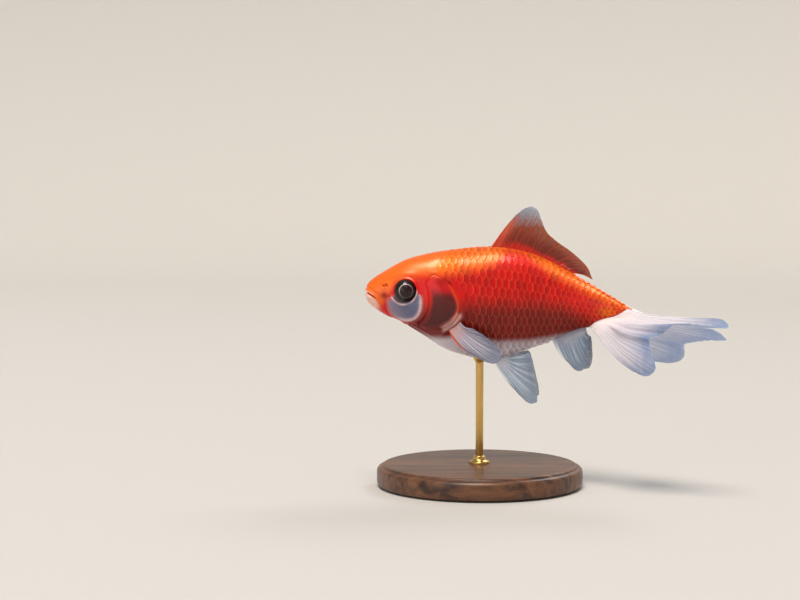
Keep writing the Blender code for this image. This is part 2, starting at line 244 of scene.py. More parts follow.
# the head's features, drawn on the side view as (along, height)
face = {
    "eye": (12.4, 3.3),
    "socket": 3.15,             # inside this radius the skin drops away under the eyeball
    "ringRadius": 4.2,          # the pale ring under the eye, nearer the eye at the back
    "ringLean": -0.7,
    "ringTurn": 0.2,
    "reliefEnd": 32.0,          # no folds of the head past here
    "mouthLine": [(-0.8, 2.75), (0.0, 2.6), (0.45, 2.45), (1.4, 1.9), (2.6, 1.1), (3.7, 0.2)],
    "jawBorder": [(-0.8, 2.75), (0.45, 2.4), (1.4, 1.9), (2.6, 1.1), (3.7, 0.1), (4.9, -1.7), (6.2, -3.6),
                  (8.2, -6.2), (10.0, -9.0)],
    "nostril": (5.95, 4.84),
    "nostrilPits": [(-0.55, -0.18, 0.30, -0.55), (0.42, 0.14, 0.36, -0.62)],    # places from the nostril
    "cheek": [(6.9, 1.0), (6.4, -0.6), (6.9, -2.8), (8.6, -5.0), (12.2, -6.4), (15.3, -5.7),
              (17.0, -3.5), (17.5, -0.7), (16.8, 2.4), (14.0, 1.4), (10.0, 0.8)],
    # a line, the shares of its length where its folds fade in and out, and for each fold its rise,
    # its offset to the line's left and its width
    "folds": [
        ([(-0.8, 1.1), (0.4, 0.8), (1.4, 0.1), (2.7, -0.85), (4.1, -1.6)],                      # chin
         (-1.0, 0.0, 0.6, 1.0), [(-0.26, 0.0, 0.34)]),
        ([(-0.8, 4.15), (0.3, 4.1), (1.3, 3.75), (2.8, 2.85), (4.1, 1.7), (4.9, 0.3), (4.9, -1.2)],
         (-1.0, 0.0, 0.7, 1.0), [(-0.15, 0.0, 0.24), (0.06, 0.55, 0.4)]),                       # upper lip
        ([(18.3, 7.4), (19.2, 3.6), (19.4, 0.6), (19.1, -2.5), (17.7, -5.5), (14.4, -7.3), (10.5, -7.2)],
         (0.0, 0.12, 0.85, 1.0), [(0.16, -0.35, 0.34), (-0.20, 0.2, 0.25)]),                    # cheek bone
    ],
    "gillCover": [(18.9, 3.8), (19.7, 1.4), (19.5, -2.0), (18.9, -4.6), (16.8, -6.9), (17.8, -8.2),
                  (21.9, -8.6), (25.6, -7.2), (28.0, -4.9), (29.1, -2.4), (29.0, 0.1), (27.9, 2.8),
                  (26.1, 5.5), (23.1, 7.6), (20.6, 7.7), (18.7, 5.6)],
    "gillHinge": (19.6, 6.0),
}


def eyeRing(a, h):
    # distance and bearing from the eye, distance past the pale ring, and how far below the eye
    away, up = a - face["eye"][0], h - face["eye"][1]
    fromEye, bearing = np.hypot(away, up), np.arctan2(up, away)
    pastRing = fromEye - (face["ringRadius"] + face["ringLean"] * np.cos(bearing))
    return fromEye, bearing, pastRing, -np.sin(bearing - face["ringTurn"])


def headRelief(a, h, turn):
    # the head's folds, as a height above the plain body, each a bell curve or smooth step of the
    # distance to a line or a spot on the side view
    fromEye, _, pastRing, below = eyeRing(a, h)
    d = 0.30 * hump(fromEye, face["socket"] + 0.52, 0.30)
    d -= 2.3 * (1.0 - ramp(fromEye, face["socket"] - 0.7, face["socket"] + 0.25))
    d += ramp(below, 0.0, 0.45) * (0.30 * hump(pastRing, 0.0, 0.30) - 0.12 * hump(pastRing, -0.42, 0.16)
                                   - 0.10 * hump(pastRing, 0.55, 0.3))
    d += 0.22 * hump(a, 12.2, 3.6) * hump(h, 8.2, 1.0) + folds(a, h, face["folds"])

    # mouth: a groove between two lips, wider and deeper in front
    gap, share, side = nearLine(a, h, face["mouthLine"])
    front = 1.0 - ramp(a, 0.4, 1.8)
    d -= (0.75 + 0.45 * front) * hump(gap, 0.0, 0.16 + 0.12 * front) * (1.0 - ramp(share, 0.70, 0.97))
    lips = np.where(side > 0, 0.26 * hump(gap, 0.50, 0.34), 0.42 * hump(gap, 0.58, 0.40))
    d += lips * (1.0 - ramp(share, 0.62, 0.95)) * (1.0 - 0.55 * front)

    # nostril: two pits, a flap between them and a low rim
    fromA, fromH = a - face["nostril"][0], h - face["nostril"][1]
    d += sum(spots(fromA, fromH, face["nostrilPits"]))
    d += 0.42 * hump(fromA + 0.3 * fromH, 0.0, 0.17) * hump(fromH, 0.05, 0.42)
    d += 0.10 * hump(np.hypot(fromA, fromH * 1.2), 1.0, 0.28)

    cheek = nearLine(a, h, face["cheek"], closed=True)[2]
    rim = 0.15 * hump(cheek, 0.2, 0.3) - 0.20 * hump(cheek, -0.35, 0.3)
    d += (0.16 * ramp(cheek, 0.0, 1.4) + rim) * ramp(fromEye, 4.4, 5.2)

    # gill cover: a low dome with a raised rim and faint ribs from its hinge, and the gill opening's
    # step behind and below it
    inside = nearLine(a, h, face["gillCover"], closed=True, samples=90)[2]
    rear = ramp(a + 0.35 * np.abs(h + 1.0), 22.0, 25.5)
    edge = np.maximum(rear, ramp(-h, 5.5, 7.5) * ramp(a, 15.0, 17.5))
    d += edge * (0.34 * ramp(inside, -0.05, 0.24) + 0.10 * hump(inside, 0.45, 0.3)
                 - 0.55 * hump(inside, -0.28, 0.30))
    d += 0.20 * ramp(inside, 0.2, 3.2) - 0.16 * hump(inside, 0.0, 0.3) * (1.0 - edge)
    away, up = a - face["gillHinge"][0], h - face["gillHinge"][1]
    ribs = np.sin(np.arctan2(up, away) * 34.0) * ramp(np.hypot(away, up), 2.5, 6.0)
    d += 0.022 * ribs * ramp(inside, 0.4, 1.2) - 0.11 * hump(inside, 1.75, 0.22) * ramp(-h, 2.5, 5.0)

    # throat: folds of the gill membrane running forward to the middle of the chin
    fromKeel = (1.0 - np.abs(turn)) * halfGirth(a)
    spread = 0.75 + 0.075 * np.clip(a - 10.0, 0.0, 20.0)
    throat = span(a, 9.5, 13.0, 25.0, 28.0) * ramp(-inside, 0.3, 0.9) * (1.0 - ramp(fromKeel, 5.2, 7.0))
    d += 0.11 * np.cos(fromKeel / spread * tau * 0.62) * throat
    return d - 0.22 * hump(fromKeel, 0.0, 0.5) * span(a, 7.0, 10.0, 24.0, 28.0)


trunk = {
    # as in face: the crease that the tail's bend makes, and the shoulder at the pectoral fin's root
    "folds": [
        ([(58.0, 6.0), (56.4, 1.5), (55.0, -4.0), (53.6, -9.5)], (0.0, 0.3, 0.7, 1.0),
         [(0.14, -0.9, 0.7), (-0.22, 0.0, 0.6), (0.10, 1.0, 0.8)]),
        ([(24.8, -8.4), (27.4, -6.6), (29.8, -4.6)], (-1.0, 0.0, 2.0, 3.0), [(0.95, 0.0, 1.35)]),
    ],
    "bosses": [(24.9, -7.6, 0.85, 0.30), (27.5, -6.1, 0.95, 0.35)],     # at that fin's first rays
}


def trunkRelief(a, h, turn):
    # bell curves for the ridge under the dorsal fin, the bulges at the pelvic fins' roots and the vent
    fromRidge, fromKeel = np.abs(turn) * halfGirth(a), (1.0 - np.abs(turn)) * halfGirth(a)
    d = 0.30 * hump(fromRidge, 0.0, 0.8) * span(a, 37.0, 41.0, 64.0, 68.0)
    d += folds(a, h, trunk["folds"]) + sum(spots(a, h, trunk["bosses"]))
    d += 0.55 * hump(a, 41.8, 2.3) * hump(fromKeel, 3.2, 1.3)
    d += 0.30 * hump(a, 57.2, 1.0) * hump(fromKeel, 0.0, 1.0)
    return d - 0.28 * hump(a, 57.4, 0.35) * hump(fromKeel, 0.0, 0.35)


scaleCoat = {
    "depth": 0.22,              # the skin lies this far inside the solids where scales cover it
    "bareDepth": 0.05,          # and this far on the bare head
    # how far from the snout the scales begin, by height: nape, behind the gill cover, breast
    "begins": [(-19.0, 28.5), (-14.0, 27.6), (-9.5, 27.4), (-7.0, 27.4), (-4.9, 28.6), (-2.4, 29.6),
               (0.1, 29.4), (2.8, 28.2), (5.8, 25.4), (8.2, 21.6), (9.7, 20.3), (11.2, 20.6), (13.2, 22.7),
               (15.3, 25.2)],
    # and where they end, on the slanting root of the tail fins
    "ends": [(-9.0, 71.6), (-7.5, 73.4), (-6.1, 76.4), (-4.9, 79.6), (-2.6, 82.6), (5.0, 82.6)],
    # heights of the lateral line
    "lateralLine": [(20.0, 6.3), (28.0, 4.9), (36.0, 3.3), (46.0, 2.4), (56.0, 1.2), (66.0, -0.4),
                    (76.0, -2.0), (84.0, -2.5)],
    "spacing": 2.0,             # between scales in a row
    "firstPlace": 18.0,         # where the count of spacings starts
    "rowSpacing": 2.9,          # between rows where the body is deepest
    "rows": 12,                 # at most, above and below the lateral line
    "rise": 0.24,               # the free edge over the skin
    "rootDepth": 0.05,          # the root under the skin
    "wall": 0.10,               # how far a scale's side runs on under the skin
    "halfHeight": 0.74,         # of a scale, in row spacings
    "reach": 1.72,              # from a scale's centre to its free edge
    "rootReach": 1.05,
    # a scale's own grid: shares of its half height, and of its length with the rise at each
    "across": [-1.0, -0.88, -0.68, -0.44, -0.2, 0.0, 0.2, 0.44, 0.68, 0.88, 1.0],
    "steps": [(0.0, 0.0), (0.4, 0.42), (0.66, 0.72), (0.84, 0.94), (0.95, 1.0), (1.0, 0.80)],
    "uneven": (0.05, 0.16, 0.10),       # how much size, rise and tilt vary
    "sink": 0.09,               # of the flanks' tops under the midline's own scales
    "patch": 0.003,             # a scale's width on the bake map
    # midline scales from here to there, on the back's ridge (0) and the belly's keel (1)
    "midline": [(25.2, 38.6, 0.0), (66.4, 80.0, 0.0), (28.8, 56.6, 1.0)],
    "seed": 7,
}


def bodySkin(along, turn, lift=0.0, foldRange=(-9.0, 9.0)):
    # the plain body, moved along its normal by the folds, less the coat's depth, plus lift. The
    # head's folds are kept within foldRange
    out, height = flankPoint(along, turn)
    a, turn = (np.broadcast_to(v, height.shape) for v in (along, turn))
    covered = ramp(a - alongCurve(height, scaleCoat["begins"]), -1.5, 3.5)
    depth = scaleCoat["bareDepth"] + (scaleCoat["depth"] - scaleCoat["bareDepth"]) * covered
    move = trunkRelief(a, height, turn) - depth + lift
    onHead = a < face["reliefEnd"]
    move[onHead] += np.clip(headRelief(a[onHead], height[onHead], turn[onHead]), *foldRange)
    return place(a, out, height) + outwardAt(a, turn) * move[..., None]


markingLines = {
    # heights where one colour gives way to the next: the lighter top, painted where top light falls, the
    # lower flank's painted shade, white, and white on the tail's stalk
    # the height above which the top gets its painted light
    "bright": [(0, -2.5), (3, -1.5), (5, -0.4), (7, 2.8), (8.8, 6.2), (13, 8.2), (23, 8.6), (29, 9.8),
               (35, 11.0), (40, 12.4), (44, 16.4), (49, 15.8), (53, 12.8), (57, 9.8), (66, 5.5), (76, 0.5),
               (84, -2.5)],
    # the height below which the lower flank gets its painted shade
    "dim": [(0, -9), (12, -5.0), (18, 0.5), (23, 2.0), (41, 1.6), (51, 1.8), (61, 0.6), (70, -3.0),
            (76, -6.0), (84, -8.0)],
    "white": [(0, -4.5), (8, -6.3), (14, -9.2), (20, -11.2), (25, -11.0), (29, -10.2), (35, -11.0),
              (41, -12.2), (51, -12.0), (58, -11.0), (64, -9.9), (70, -8.6)],
    "tail": [(69.5, -10.0), (71.2, -7.7), (73.0, -6.4), (76.7, -5.0), (80.0, -3.7), (83.6, -2.1)],
    "finRoot": [(24.6, -8.0), (27.0, -6.4), (28.8, -4.2)],
    # two red spots, and painted shade on the nostril (the last)
    "redSpotsAndNostrilShade": [(5.7, 1.8, 1.25, 1.0), (7.9, -5.0, 0.9, 0.8), (5.95, 4.84, 0.6, 0.5)],
}


def markings(a, h):
    # one share for each painted coat, the same for skin and scales: smooth steps of the height over the
    # lines, and bell curves of the distance to borders and spots. Besides the fish's own colours, some coats
    # are painted light and shade, as said at each
    above = {key: h - alongCurve(a, markingLines[key]) for key in ("bright", "dim", "white", "tail")}
    fromEye, bearing, pastRing, below = eyeRing(a, h)
    below = ramp(below, 0.05, 0.40)
    jaw = nearLine(a, h, face["jawBorder"])[2]
    cheek = nearLine(a, h, face["cheek"], closed=True)[2]
    gill = nearLine(a, h, face["gillCover"], closed=True, samples=90)[2]
    finRoot = nearLine(a, h, markingLines["finRoot"])[0]

    # painted glow: the tail's stalk painted a lighter orange, as if light shone through it
    stalk = hump(np.hypot(a - 76.5, (h + 3.2) * 1.5), 0.0, 3.0)
    white = ramp(-above["white"], -1.1, 1.7) * (1.0 - ramp(a, 70.0, 71.5))
    patchy = 0.5 + 0.5 * np.sin(2.3 * a + 1.1 * h) * np.sin(1.7 * h - 1.2 * a + 0.8)
    ember = np.maximum(0.55 * hump(gill, 0.4, 0.6) * ramp(a, 24.5, 27.0) * ramp(h, -6.5, -3.0),
                       0.3 * hump(a, 19.2, 0.7) * hump(h, 0.5, 3.5))
    # red spots, a darker red patch at the top of the gill cover, and painted shade along the mouth's groove
    # and on the nostril
    blood = np.maximum.reduce([*spots(a, h, markingLines["redSpotsAndNostrilShade"]),
                               0.75 * hump(a, 23.8, 2.4) * hump(h, 6.2, 1.7),
                               0.8 * hump(jaw, 0.0, 0.16) * (1.0 - ramp(a, 1.6, 3.6))])
    pink = ramp(-jaw, 0.05, 0.5) * (1.0 - 0.35 * ramp(-jaw, 1.0, 2.6)) * (1.0 - ramp(a, 2.2, 5.4))
    lips = hump(jaw, 0.55, 0.35) * (1.0 - ramp(a, 1.5, 3.5)) * 0.35
    softness = 0.5 + 1.5 * (1.0 - ramp(a, 7.5, 12.0))
    silver = np.maximum(ramp(cheek / softness, -0.3, 0.8), below * (1.0 - ramp(pastRing, 0.0, 0.4)))
    ring = below * hump(pastRing, 0.0, 0.27) * (0.7 + 0.3 * np.sin(6.5 * bearing + 1.0))
    cheekRim = 0.55 * hump(cheek, 0.45, 0.6) * ramp(fromEye, 4.6, 5.6) * ramp(a - 0.6 * h, 12.0, 16.0)
    return {
        # painted light: the back and snout a lighter orange where top light falls, with the stalk's painted
        # glow
        "gold": np.maximum(ramp(above["bright"], -3.2, 1.6), stalk),
        "scarlet": hump(a, 18.8, 4.6) * hump(h, 5.6, 2.6) * (0.55 + 0.45 * patchy),
        # painted shade: the lower flank a darker red, as under light from above
        "dusk": ramp(-above["dim"], -1.5, 6.0),
        # the gill cover darker towards the bottom: partly the gills under it, partly painted shade
        "dark": 0.92 * ramp(gill, 0.2, 1.7) * ramp(-h, -5.0, -1.0) * (1.0 - ember),
        "ember": ember,
        "blood": blood,
        "white": np.maximum(white, ramp(-above["tail"], -0.35, 0.5) * ramp(a, 68.5, 71.0)),
        # the pectoral fin's root pale pink: partly its own colour, partly a painted highlight
        "flesh": 0.75 * hump(finRoot, 0.0, 0.85),
        "pink": np.maximum(pink, lips),
        "silver": silver,
        "violet": 0.9 * silver * (0.55 + 0.45 * ramp(a + 0.5 * h, 5.5, 12.0)) * ramp(cheek, 0.0, 1.4),
        "shade": 0.85 * below * (1.0 - ramp(pastRing, -0.50, -0.15)),
        "rim": np.maximum(ring, cheekRim),
    }


def addPiece(name, points, faces, material, uvs=None, values=None, sharp=None):
    # a mesh object from points in millimetres, with corner places on the bake map and point values
    mesh = bpy.data.meshes.new(name)
    mesh.from_pydata(np.asarray(points, float).reshape(-1, 3) * millimetre, [], faces)
    mesh.shade_smooth()
    if sharp:
        mesh.set_sharp_from_angle(angle=math.radians(sharp))
    if uvs is not None:
        layer = mesh.uv_layers.new(name="OFBake")
        layer.uv.foreach_set("vector", np.asarray(uvs, np.float32).ravel())
    for key, value in (values or {}).items():
        layer = mesh.attributes.new(key, "FLOAT", "POINT")
        layer.data.foreach_set("value", np.asarray(value, np.float32).ravel())
    mesh.materials.append(material)
    piece = bpy.data.objects.new(name, mesh)
    bpy.context.scene.collection.objects.link(piece)
    return piece


def gridFaces(rows, columns, closed=False):
    # quads of a grid stored row by row, wound so that round crossed with along points out
    r, c = np.meshgrid(np.arange(rows - 1), np.arange(columns if closed else columns - 1), indexing="ij")
    low, high = r * columns, (r + 1) * columns
    after = (c + 1) % columns
    return np.stack([low + c, low + after, high + after, high + c], axis=-1).reshape(-1, 4)


def gridBorder(rows, columns):
    # a grid's outline, once round: first row, last column, last row and first column
    side = np.arange(1, rows) * columns
    return np.concatenate([np.arange(columns), side + columns - 1,
                           (rows - 1) * columns + np.arange(columns - 2, -1, -1), side[-2::-1]])


def ringFaces(rows, columns):
    # quads between closed rings, and the triangles from each end ring to its own pole
    column, last = np.arange(columns), (rows - 1) * columns
    after = np.roll(column, -1)
    pole = np.full(columns, rows * columns)
    caps = np.concatenate([[pole, after, column], [pole + 1, last + column, last + after]], axis=1).T
    return gridFaces(rows, columns, closed=True), caps


def withPoles(rings):
    # values ring by ring, and then the means of the first and of the last ring, for the poles
    return np.concatenate([rings.reshape(-1, *rings.shape[2:]), [rings[0].mean(0), rings[-1].mean(0)]])


def finishPiece(piece, slot, *nodes):
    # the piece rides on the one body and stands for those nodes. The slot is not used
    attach(piece, "root")
    if nodes:
        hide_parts(*nodes)
    print("made", piece.name, len(piece.data.polygons), "faces")
    return piece


def linearColour(code):
    # an sRGB hex value as linear numbers
    parts = [int(code[k:k + 2], 16) / 255.0 for k in (1, 3, 5)]
    linear = [v / 12.92 if v <= 0.04045 else ((v + 0.055) / 1.055) ** 2.4 for v in parts]
    return (*linear, 1.0)


def fillInputs(node, inputs):
    # each input by its name or number: an output is linked, a string is a hex colour or the name of
    # a point attribute to read, and anything else is set as it stands
    tree = node.id_data
    for key, value in inputs.items() if isinstance(inputs, dict) else enumerate(inputs):
        if isinstance(value, str) and value[0] != "#":
            value = addNode(tree, "Attribute", [], "Fac", attribute_name=value)
        if isinstance(value, bpy.types.NodeSocket):
            tree.links.new(value, node.inputs[key])
        else:
            node.inputs[key].default_value = linearColour(value) if isinstance(value, str) else value


def addNode(tree, kind, inputs, output=0, **settings):
    # one node with its settings and its inputs filled, given as one of its outputs
    node = tree.nodes.new("ShaderNode" + kind)
    for key, value in settings.items():
        setattr(node, key, value)
    fillInputs(node, inputs)
    return node.outputs[output]


def newMaterial(name, inputs):
    # a material whose shader has these inputs
    mat = bpy.data.materials.new(name)
    mat.use_nodes = True
    fillInputs(mat.node_tree.nodes["Principled BSDF"], inputs)
    return mat, mat.node_tree


def finishMaterial(mat, colour, height, depth, strength, **more):
    # the shader's colour, and a bump of that height pattern, depth millimetres deep
    tree = mat.node_tree
    bump = addNode(tree, "Bump", {"Height": height, "Distance": depth * millimetre, "Strength": strength})
    fillInputs(tree.nodes["Principled BSDF"], {"Base Color": colour, "Normal": bump, **more})
    return mat


def layCoats(tree, ground, *coats):
    # colours laid over the ground in turn, each as (share, colour) and how it mixes if not plainly
    for share, colour, *blend in coats:
        ground = addNode(tree, "Mix", {0: share, 6: ground, 7: colour}, 2, data_type="RGBA",
                         blend_type=blend[0] if blend else "MIX")
    return ground


def wavesOf(tree, distance, spacing):
    # the sine of a distance, one wave to each spacing
    phase = addNode(tree, "Math", [distance, tau / spacing], operation="MULTIPLY")
    return addNode(tree, "Math", [phase], operation="SINE")


def cloudOf(tree, size, detail=3.0, roughness=0.55, stretch=(1, 1, 1), distortion=0.0):
    # a cloudy pattern on Object coordinates whose lumps are about size millimetres across
    where = addNode(tree, "TexCoord", [], "Object")
    moved = addNode(tree, "Mapping", {"Vector": where, "Scale": stretch})
    return addNode(tree, "TexNoise", {"Vector": moved, "Scale": 1.0 / (size * millimetre), "Detail": detail,
                                      "Roughness": roughness, "Distortion": distortion})


coloursAndPaintedLight = {
    "base": "#DB0D0B",          # flame red
    "layers": [                 # in the order they are laid on, each by its own share
        # painted light: a lighter orange on the back and snout, and a glow on the tail's stalk
        ("gold", "#FF7010"),
        ("scarlet", "#DC040C"),
        # painted shade on the lower flank
        ("dusk", "#7A0A07"),
        # the gill cover's dark: partly the gills under it, partly painted shade
        ("dark", "#4C0B07"),
        ("ember", "#EE4A12"),
        # red spots, with painted shade in the mouth's groove and on the nostril
        ("blood", "#A00505"),
        ("white", "#DCD2DA"),
        # the fin root's pale pink, partly its own colour and partly a painted highlight
        ("flesh", "#E0B0A4"),
        ("pink", "#F8CFC2"),
        ("silver", "#B79CA6"),
        ("violet", "#5C6484"),
        ("shade", "#4E3342"),
        ("rim", "#F8D6D4"),
    ],
}
fleshGlow = {"Subsurface Scale": 0.001, "Subsurface Radius": (1.0, 0.35, 0.2)}      # scale in metres


def paintedColourAndLight(tree):
    # the painted coats laid over each other, the fish's own colours and the painted light and shade among
    # them, each with an edge broken by soft mottling 1.2 mm across: share plus share times (1 - share) times
    # the mottling
    mottle = addNode(tree, "Math", [cloudOf(tree, 1.2), 0.9, -0.45], operation="MULTIPLY_ADD")
    coats = []
    for name, code in coloursAndPaintedLight["layers"]:
        rest = addNode(tree, "Math", [1.0, name], operation="SUBTRACT")
        edge = addNode(tree, "Math", [name, rest], operation="MULTIPLY")
        share = addNode(tree, "Math", [edge, mottle, name], operation="MULTIPLY_ADD", use_clamp=True)
        coats.append((share, code))
    return layCoats(tree, coloursAndPaintedLight["base"], *coats)


def makeSkinMaterial():
    # cast resin skin, airbrushed in thin coats and varnished: soft depth, a wet shine, fine pores
    mat, tree = newMaterial("airbrushedResinSkin", {
        "Base Color": coloursAndPaintedLight["base"], "Roughness": 0.36, "Metallic": 0.15, "Specular IOR Level": 0.3,
        "Subsurface Weight": 0.15, **fleshGlow, "Coat Weight": 0.3, "Coat Roughness": 0.18})
    cloud = cloudOf(tree, 0.5, detail=4.0)
    shade = addNode(tree, "MapRange", [cloud, 0.3, 0.7, 0.86, 1.08])
    rough = addNode(tree, "MapRange", [cloud, 0.3, 0.7, 0.28, 0.42])
    colour = layCoats(tree, paintedColourAndLight(tree), (1.0, shade, "MULTIPLY"))
    return finishMaterial(mat, colour, cloudOf(tree, 0.3), 0.045, 0.5, Roughness=rough)


def makeScaleMaterial():
    # the same resin on raised scales, painted over a pearl ground, each with painted shade towards its root,
    # where it comes out from under the scale before it, and a painted highlight along its free edge, with
    # growth rings drawn 0.2 mm apart, coarser than life so that they show
    mat, tree = newMaterial("airbrushedResinScale", {
        "Base Color": coloursAndPaintedLight["base"], "Roughness": 0.40, "Metallic": 0.28, "Specular IOR Level": 0.2,
        "Subsurface Weight": 0.1, **fleshGlow, "Coat Weight": 0.2, "Coat Roughness": 0.14})
    # painted shade towards each scale's root, and a painted highlight along its free edge
    rootShade = addNode(tree, "MapRange", ["reach", 0.35, 0.85, 0.40, 0.0])
    edgeHighlight = addNode(tree, "MapRange", ["reach", 0.78, 0.98, 0.0, 0.16])
    rootShade, edgeHighlight = (addNode(tree, "Math", [part, "young"], operation="MULTIPLY") for part in (rootShade, edgeHighlight))
    tone = addNode(tree, "MapRange", ["tone", 0.0, 1.0, 0.84, 1.12])
    # the dark red is the painted shade at the root, the pale orange the painted highlight at the edge
    colour = layCoats(tree, paintedColourAndLight(tree), (rootShade, "#7E0C05"), (edgeHighlight, "#FFA060", "SCREEN"),
                      (1.0, tone, "MULTIPLY"))
    uneven = addNode(tree, "Math", [cloudOf(tree, 0.9), 0.12, "reach"], operation="MULTIPLY_ADD")
    rings = wavesOf(tree, uneven, 0.2 / 2.7)                    # as shares of a scale 2.7 mm long
    strength = addNode(tree, "Math", [cloudOf(tree, 0.6, detail=2.0), "young"], operation="MULTIPLY")
    relief = addNode(tree, "Math", [rings, strength], operation="MULTIPLY")
    return finishMaterial(mat, colour, relief, 0.016, 0.3)


skinGrid = {
    "columns": 248,             # round the body
    "headStep": 0.118,          # between rings as far back as the gill covers
    "trunkStep": 0.60,
    "headEnd": 31.0,
    "headShare": 0.62,          # of the bake map
}


def ringPlaces():
    # ring places with even steps along the surface's outline: the length along it is the sum of
    # steps of the square root of 1 plus the square of the mean radius's slope
    along = np.concatenate([np.linspace(0.004, 0.4, 400), np.linspace(0.4, body["length"], 4000)[1:]])
    back, belly, half, _ = sectionAt(along)
    radius = (back - belly + 2 * half) / 4.0
    length = np.concatenate([[0.0], np.cumsum(np.hypot(np.diff(along), np.diff(radius)))])
    neck = np.interp(skinGrid["headEnd"], along, length)
    step = np.where(length < neck, skinGrid["headStep"],
                    np.minimum(skinGrid["trunkStep"], skinGrid["headStep"] + (length - neck) * 0.12))
    count = np.concatenate([[0.0], np.cumsum(np.diff(length) / step[1:])])
    return np.interp(np.arange(int(count[-1]) + 1), count, along)


def makeSkin(material):
    # one closed skin: rings round the body at those places, closed by a point at each end. Its bake
    # map is the skin cut open along its keel, the head wider than the trunk
    places, columns = ringPlaces(), skinGrid["columns"]
    a, turn = np.meshgrid(places, np.linspace(-1.0, 1.0, columns, endpoint=False), indexing="ij")
    quads, caps = ringFaces(len(places), columns)
    headPart = np.clip(places / skinGrid["headEnd"], 0, 1) * skinGrid["headShare"]
    trunkPart = np.clip((places - skinGrid["headEnd"]) / (body["length"] - skinGrid["headEnd"]), 0, 1)
    u = 0.01 + 0.98 * (headPart + trunkPart * (1.0 - skinGrid["headShare"]))
    uStep = np.repeat(np.stack([u[:-1], u[:-1], u[1:], u[1:]], axis=1), columns, axis=0)
    v = (np.arange(columns)[:, None] + np.array([0, 1, 1, 0])) / columns
    cells = np.stack([uStep, np.tile(v, (len(places) - 1, 1))], axis=-1)
    snout = np.stack([np.tile([0.004, u[0], u[0]], (columns, 1)), v[:, [0, 1, 0]]], axis=-1)
    tail = np.stack([np.tile([0.996, u[-1], u[-1]], (columns, 1)), v[:, [0, 0, 1]]], axis=-1)
    uvs = np.concatenate([part.reshape(-1, 2) for part in (cells, snout, tail)])
    shares = markings(a, flankPoint(a, turn)[1])
    piece = addPiece("body_skin", withPoles(bodySkin(a, turn)), quads.tolist() + caps.tolist(), material,
                     uvs, {key: withPoles(share) for key, share in shares.items()})
    return finishPiece(piece, "body_skin", "head", "lower_jaw", "gill_cover_left", "gill_cover_right",
                       "trunk", "tail_stalk")


def lateralArc(along):
    # arc length from the back's ridge down to the lateral line
    shares = np.linspace(0.0, 1.0, 97)
    stations = np.linspace(0.0, body["length"], 240)
    _, heights = flankPoint(stations[:, None], shares[None, :])
    wanted = alongCurve(stations, scaleCoat["lateralLine"])
    share = np.array([np.interp(-w, -row, shares) for w, row in zip(wanted, heights)])
    return np.interp(along, stations, share * halfGirth(stations))


def rowSpacing(along):
    # rows stand closer where the body is slimmer, by the root of its girth
    return scaleCoat["rowSpacing"] * np.sqrt(halfGirth(along) / arcHalfGirth.max())


def seatSize(along):
    # scales are smaller where the body is slimmer: 0.66 plus 0.34 times the root of its girth
    return 0.66 + 0.34 * np.sqrt(halfGirth(along) / arcHalfGirth.max())


def rowPlaces(shift=0.0):
    # places along a row: the sum of steps over the spacing there, read off at whole numbers and shift
    fine = np.linspace(scaleCoat["firstPlace"], body["length"], 3000)
    counted = np.cumsum(np.gradient(fine) / (scaleCoat["spacing"] * seatSize(fine)))
    return np.interp(np.arange(1.0, counted[-1]) + shift, counted, fine)


def scaleSeats():
    # where the scales' centres lie: (along, row) on a brick pattern of rows that run beside the
    # lateral line, kept where the row is still on the flank and between the coat's two ends
    seats = []
    for row in range(-scaleCoat["rows"], scaleCoat["rows"] + 1):
        along = rowPlaces(0.5 * (row % 2))
        share = (lateralArc(along) + row * rowSpacing(along)) / halfGirth(along)
        height = flankPoint(along, np.clip(share, 0.0, 1.0))[1]
        begins, ends = (alongCurve(height, scaleCoat[key]) for key in ("begins", "ends"))
        margin = 0.30 * rowSpacing(along) / halfGirth(along)
        keep = (along > begins) & (along < ends) & (share > -margin) & (share < 1.0 + margin)
        seats.append(np.stack([along[keep], np.full(keep.sum(), float(row))], axis=1))
    return np.concatenate(seats)


def midlineSeats():
    # seats as (along, turn) on the ridge of the back before and behind the dorsal fin, and on the keel
    along = rowPlaces()
    return np.array([(a, turn) for low, high, turn in scaleCoat["midline"] for a in along if low < a < high])


def scaleOutline(across, reach, spacing):
    # a scale's own (s, t): t = across times half its height, and s runs from the root to the free
    # edge, which is half an ellipse: its reach times the square root of 1 minus across squared
    edge = scaleCoat["reach"] * np.sqrt(np.clip(1.0 - (0.95 * across) ** 2, 0.0, 1.0))
    root = -scaleCoat["rootReach"] * np.sqrt(np.clip(1.0 - (0.8 * across) ** 2, 0.0, 1.0))
    return root + (edge - root) * reach, across * scaleCoat["halfHeight"] * spacing


def flankTurn(side):
    # turn of a place t millimetres below a row's own line, kept between the ridge and the keel
    def turnOf(along, row, t):
        arc = lateralArc(along) + row * rowSpacing(along) + t
        return side * np.clip(arc / halfGirth(along), 0.0, 1.0)
    return turnOf


def midlineTurn(along, line, t):
    # turn of a place t millimetres round the body from the ridge or the keel
    return line + t / halfGirth(along)


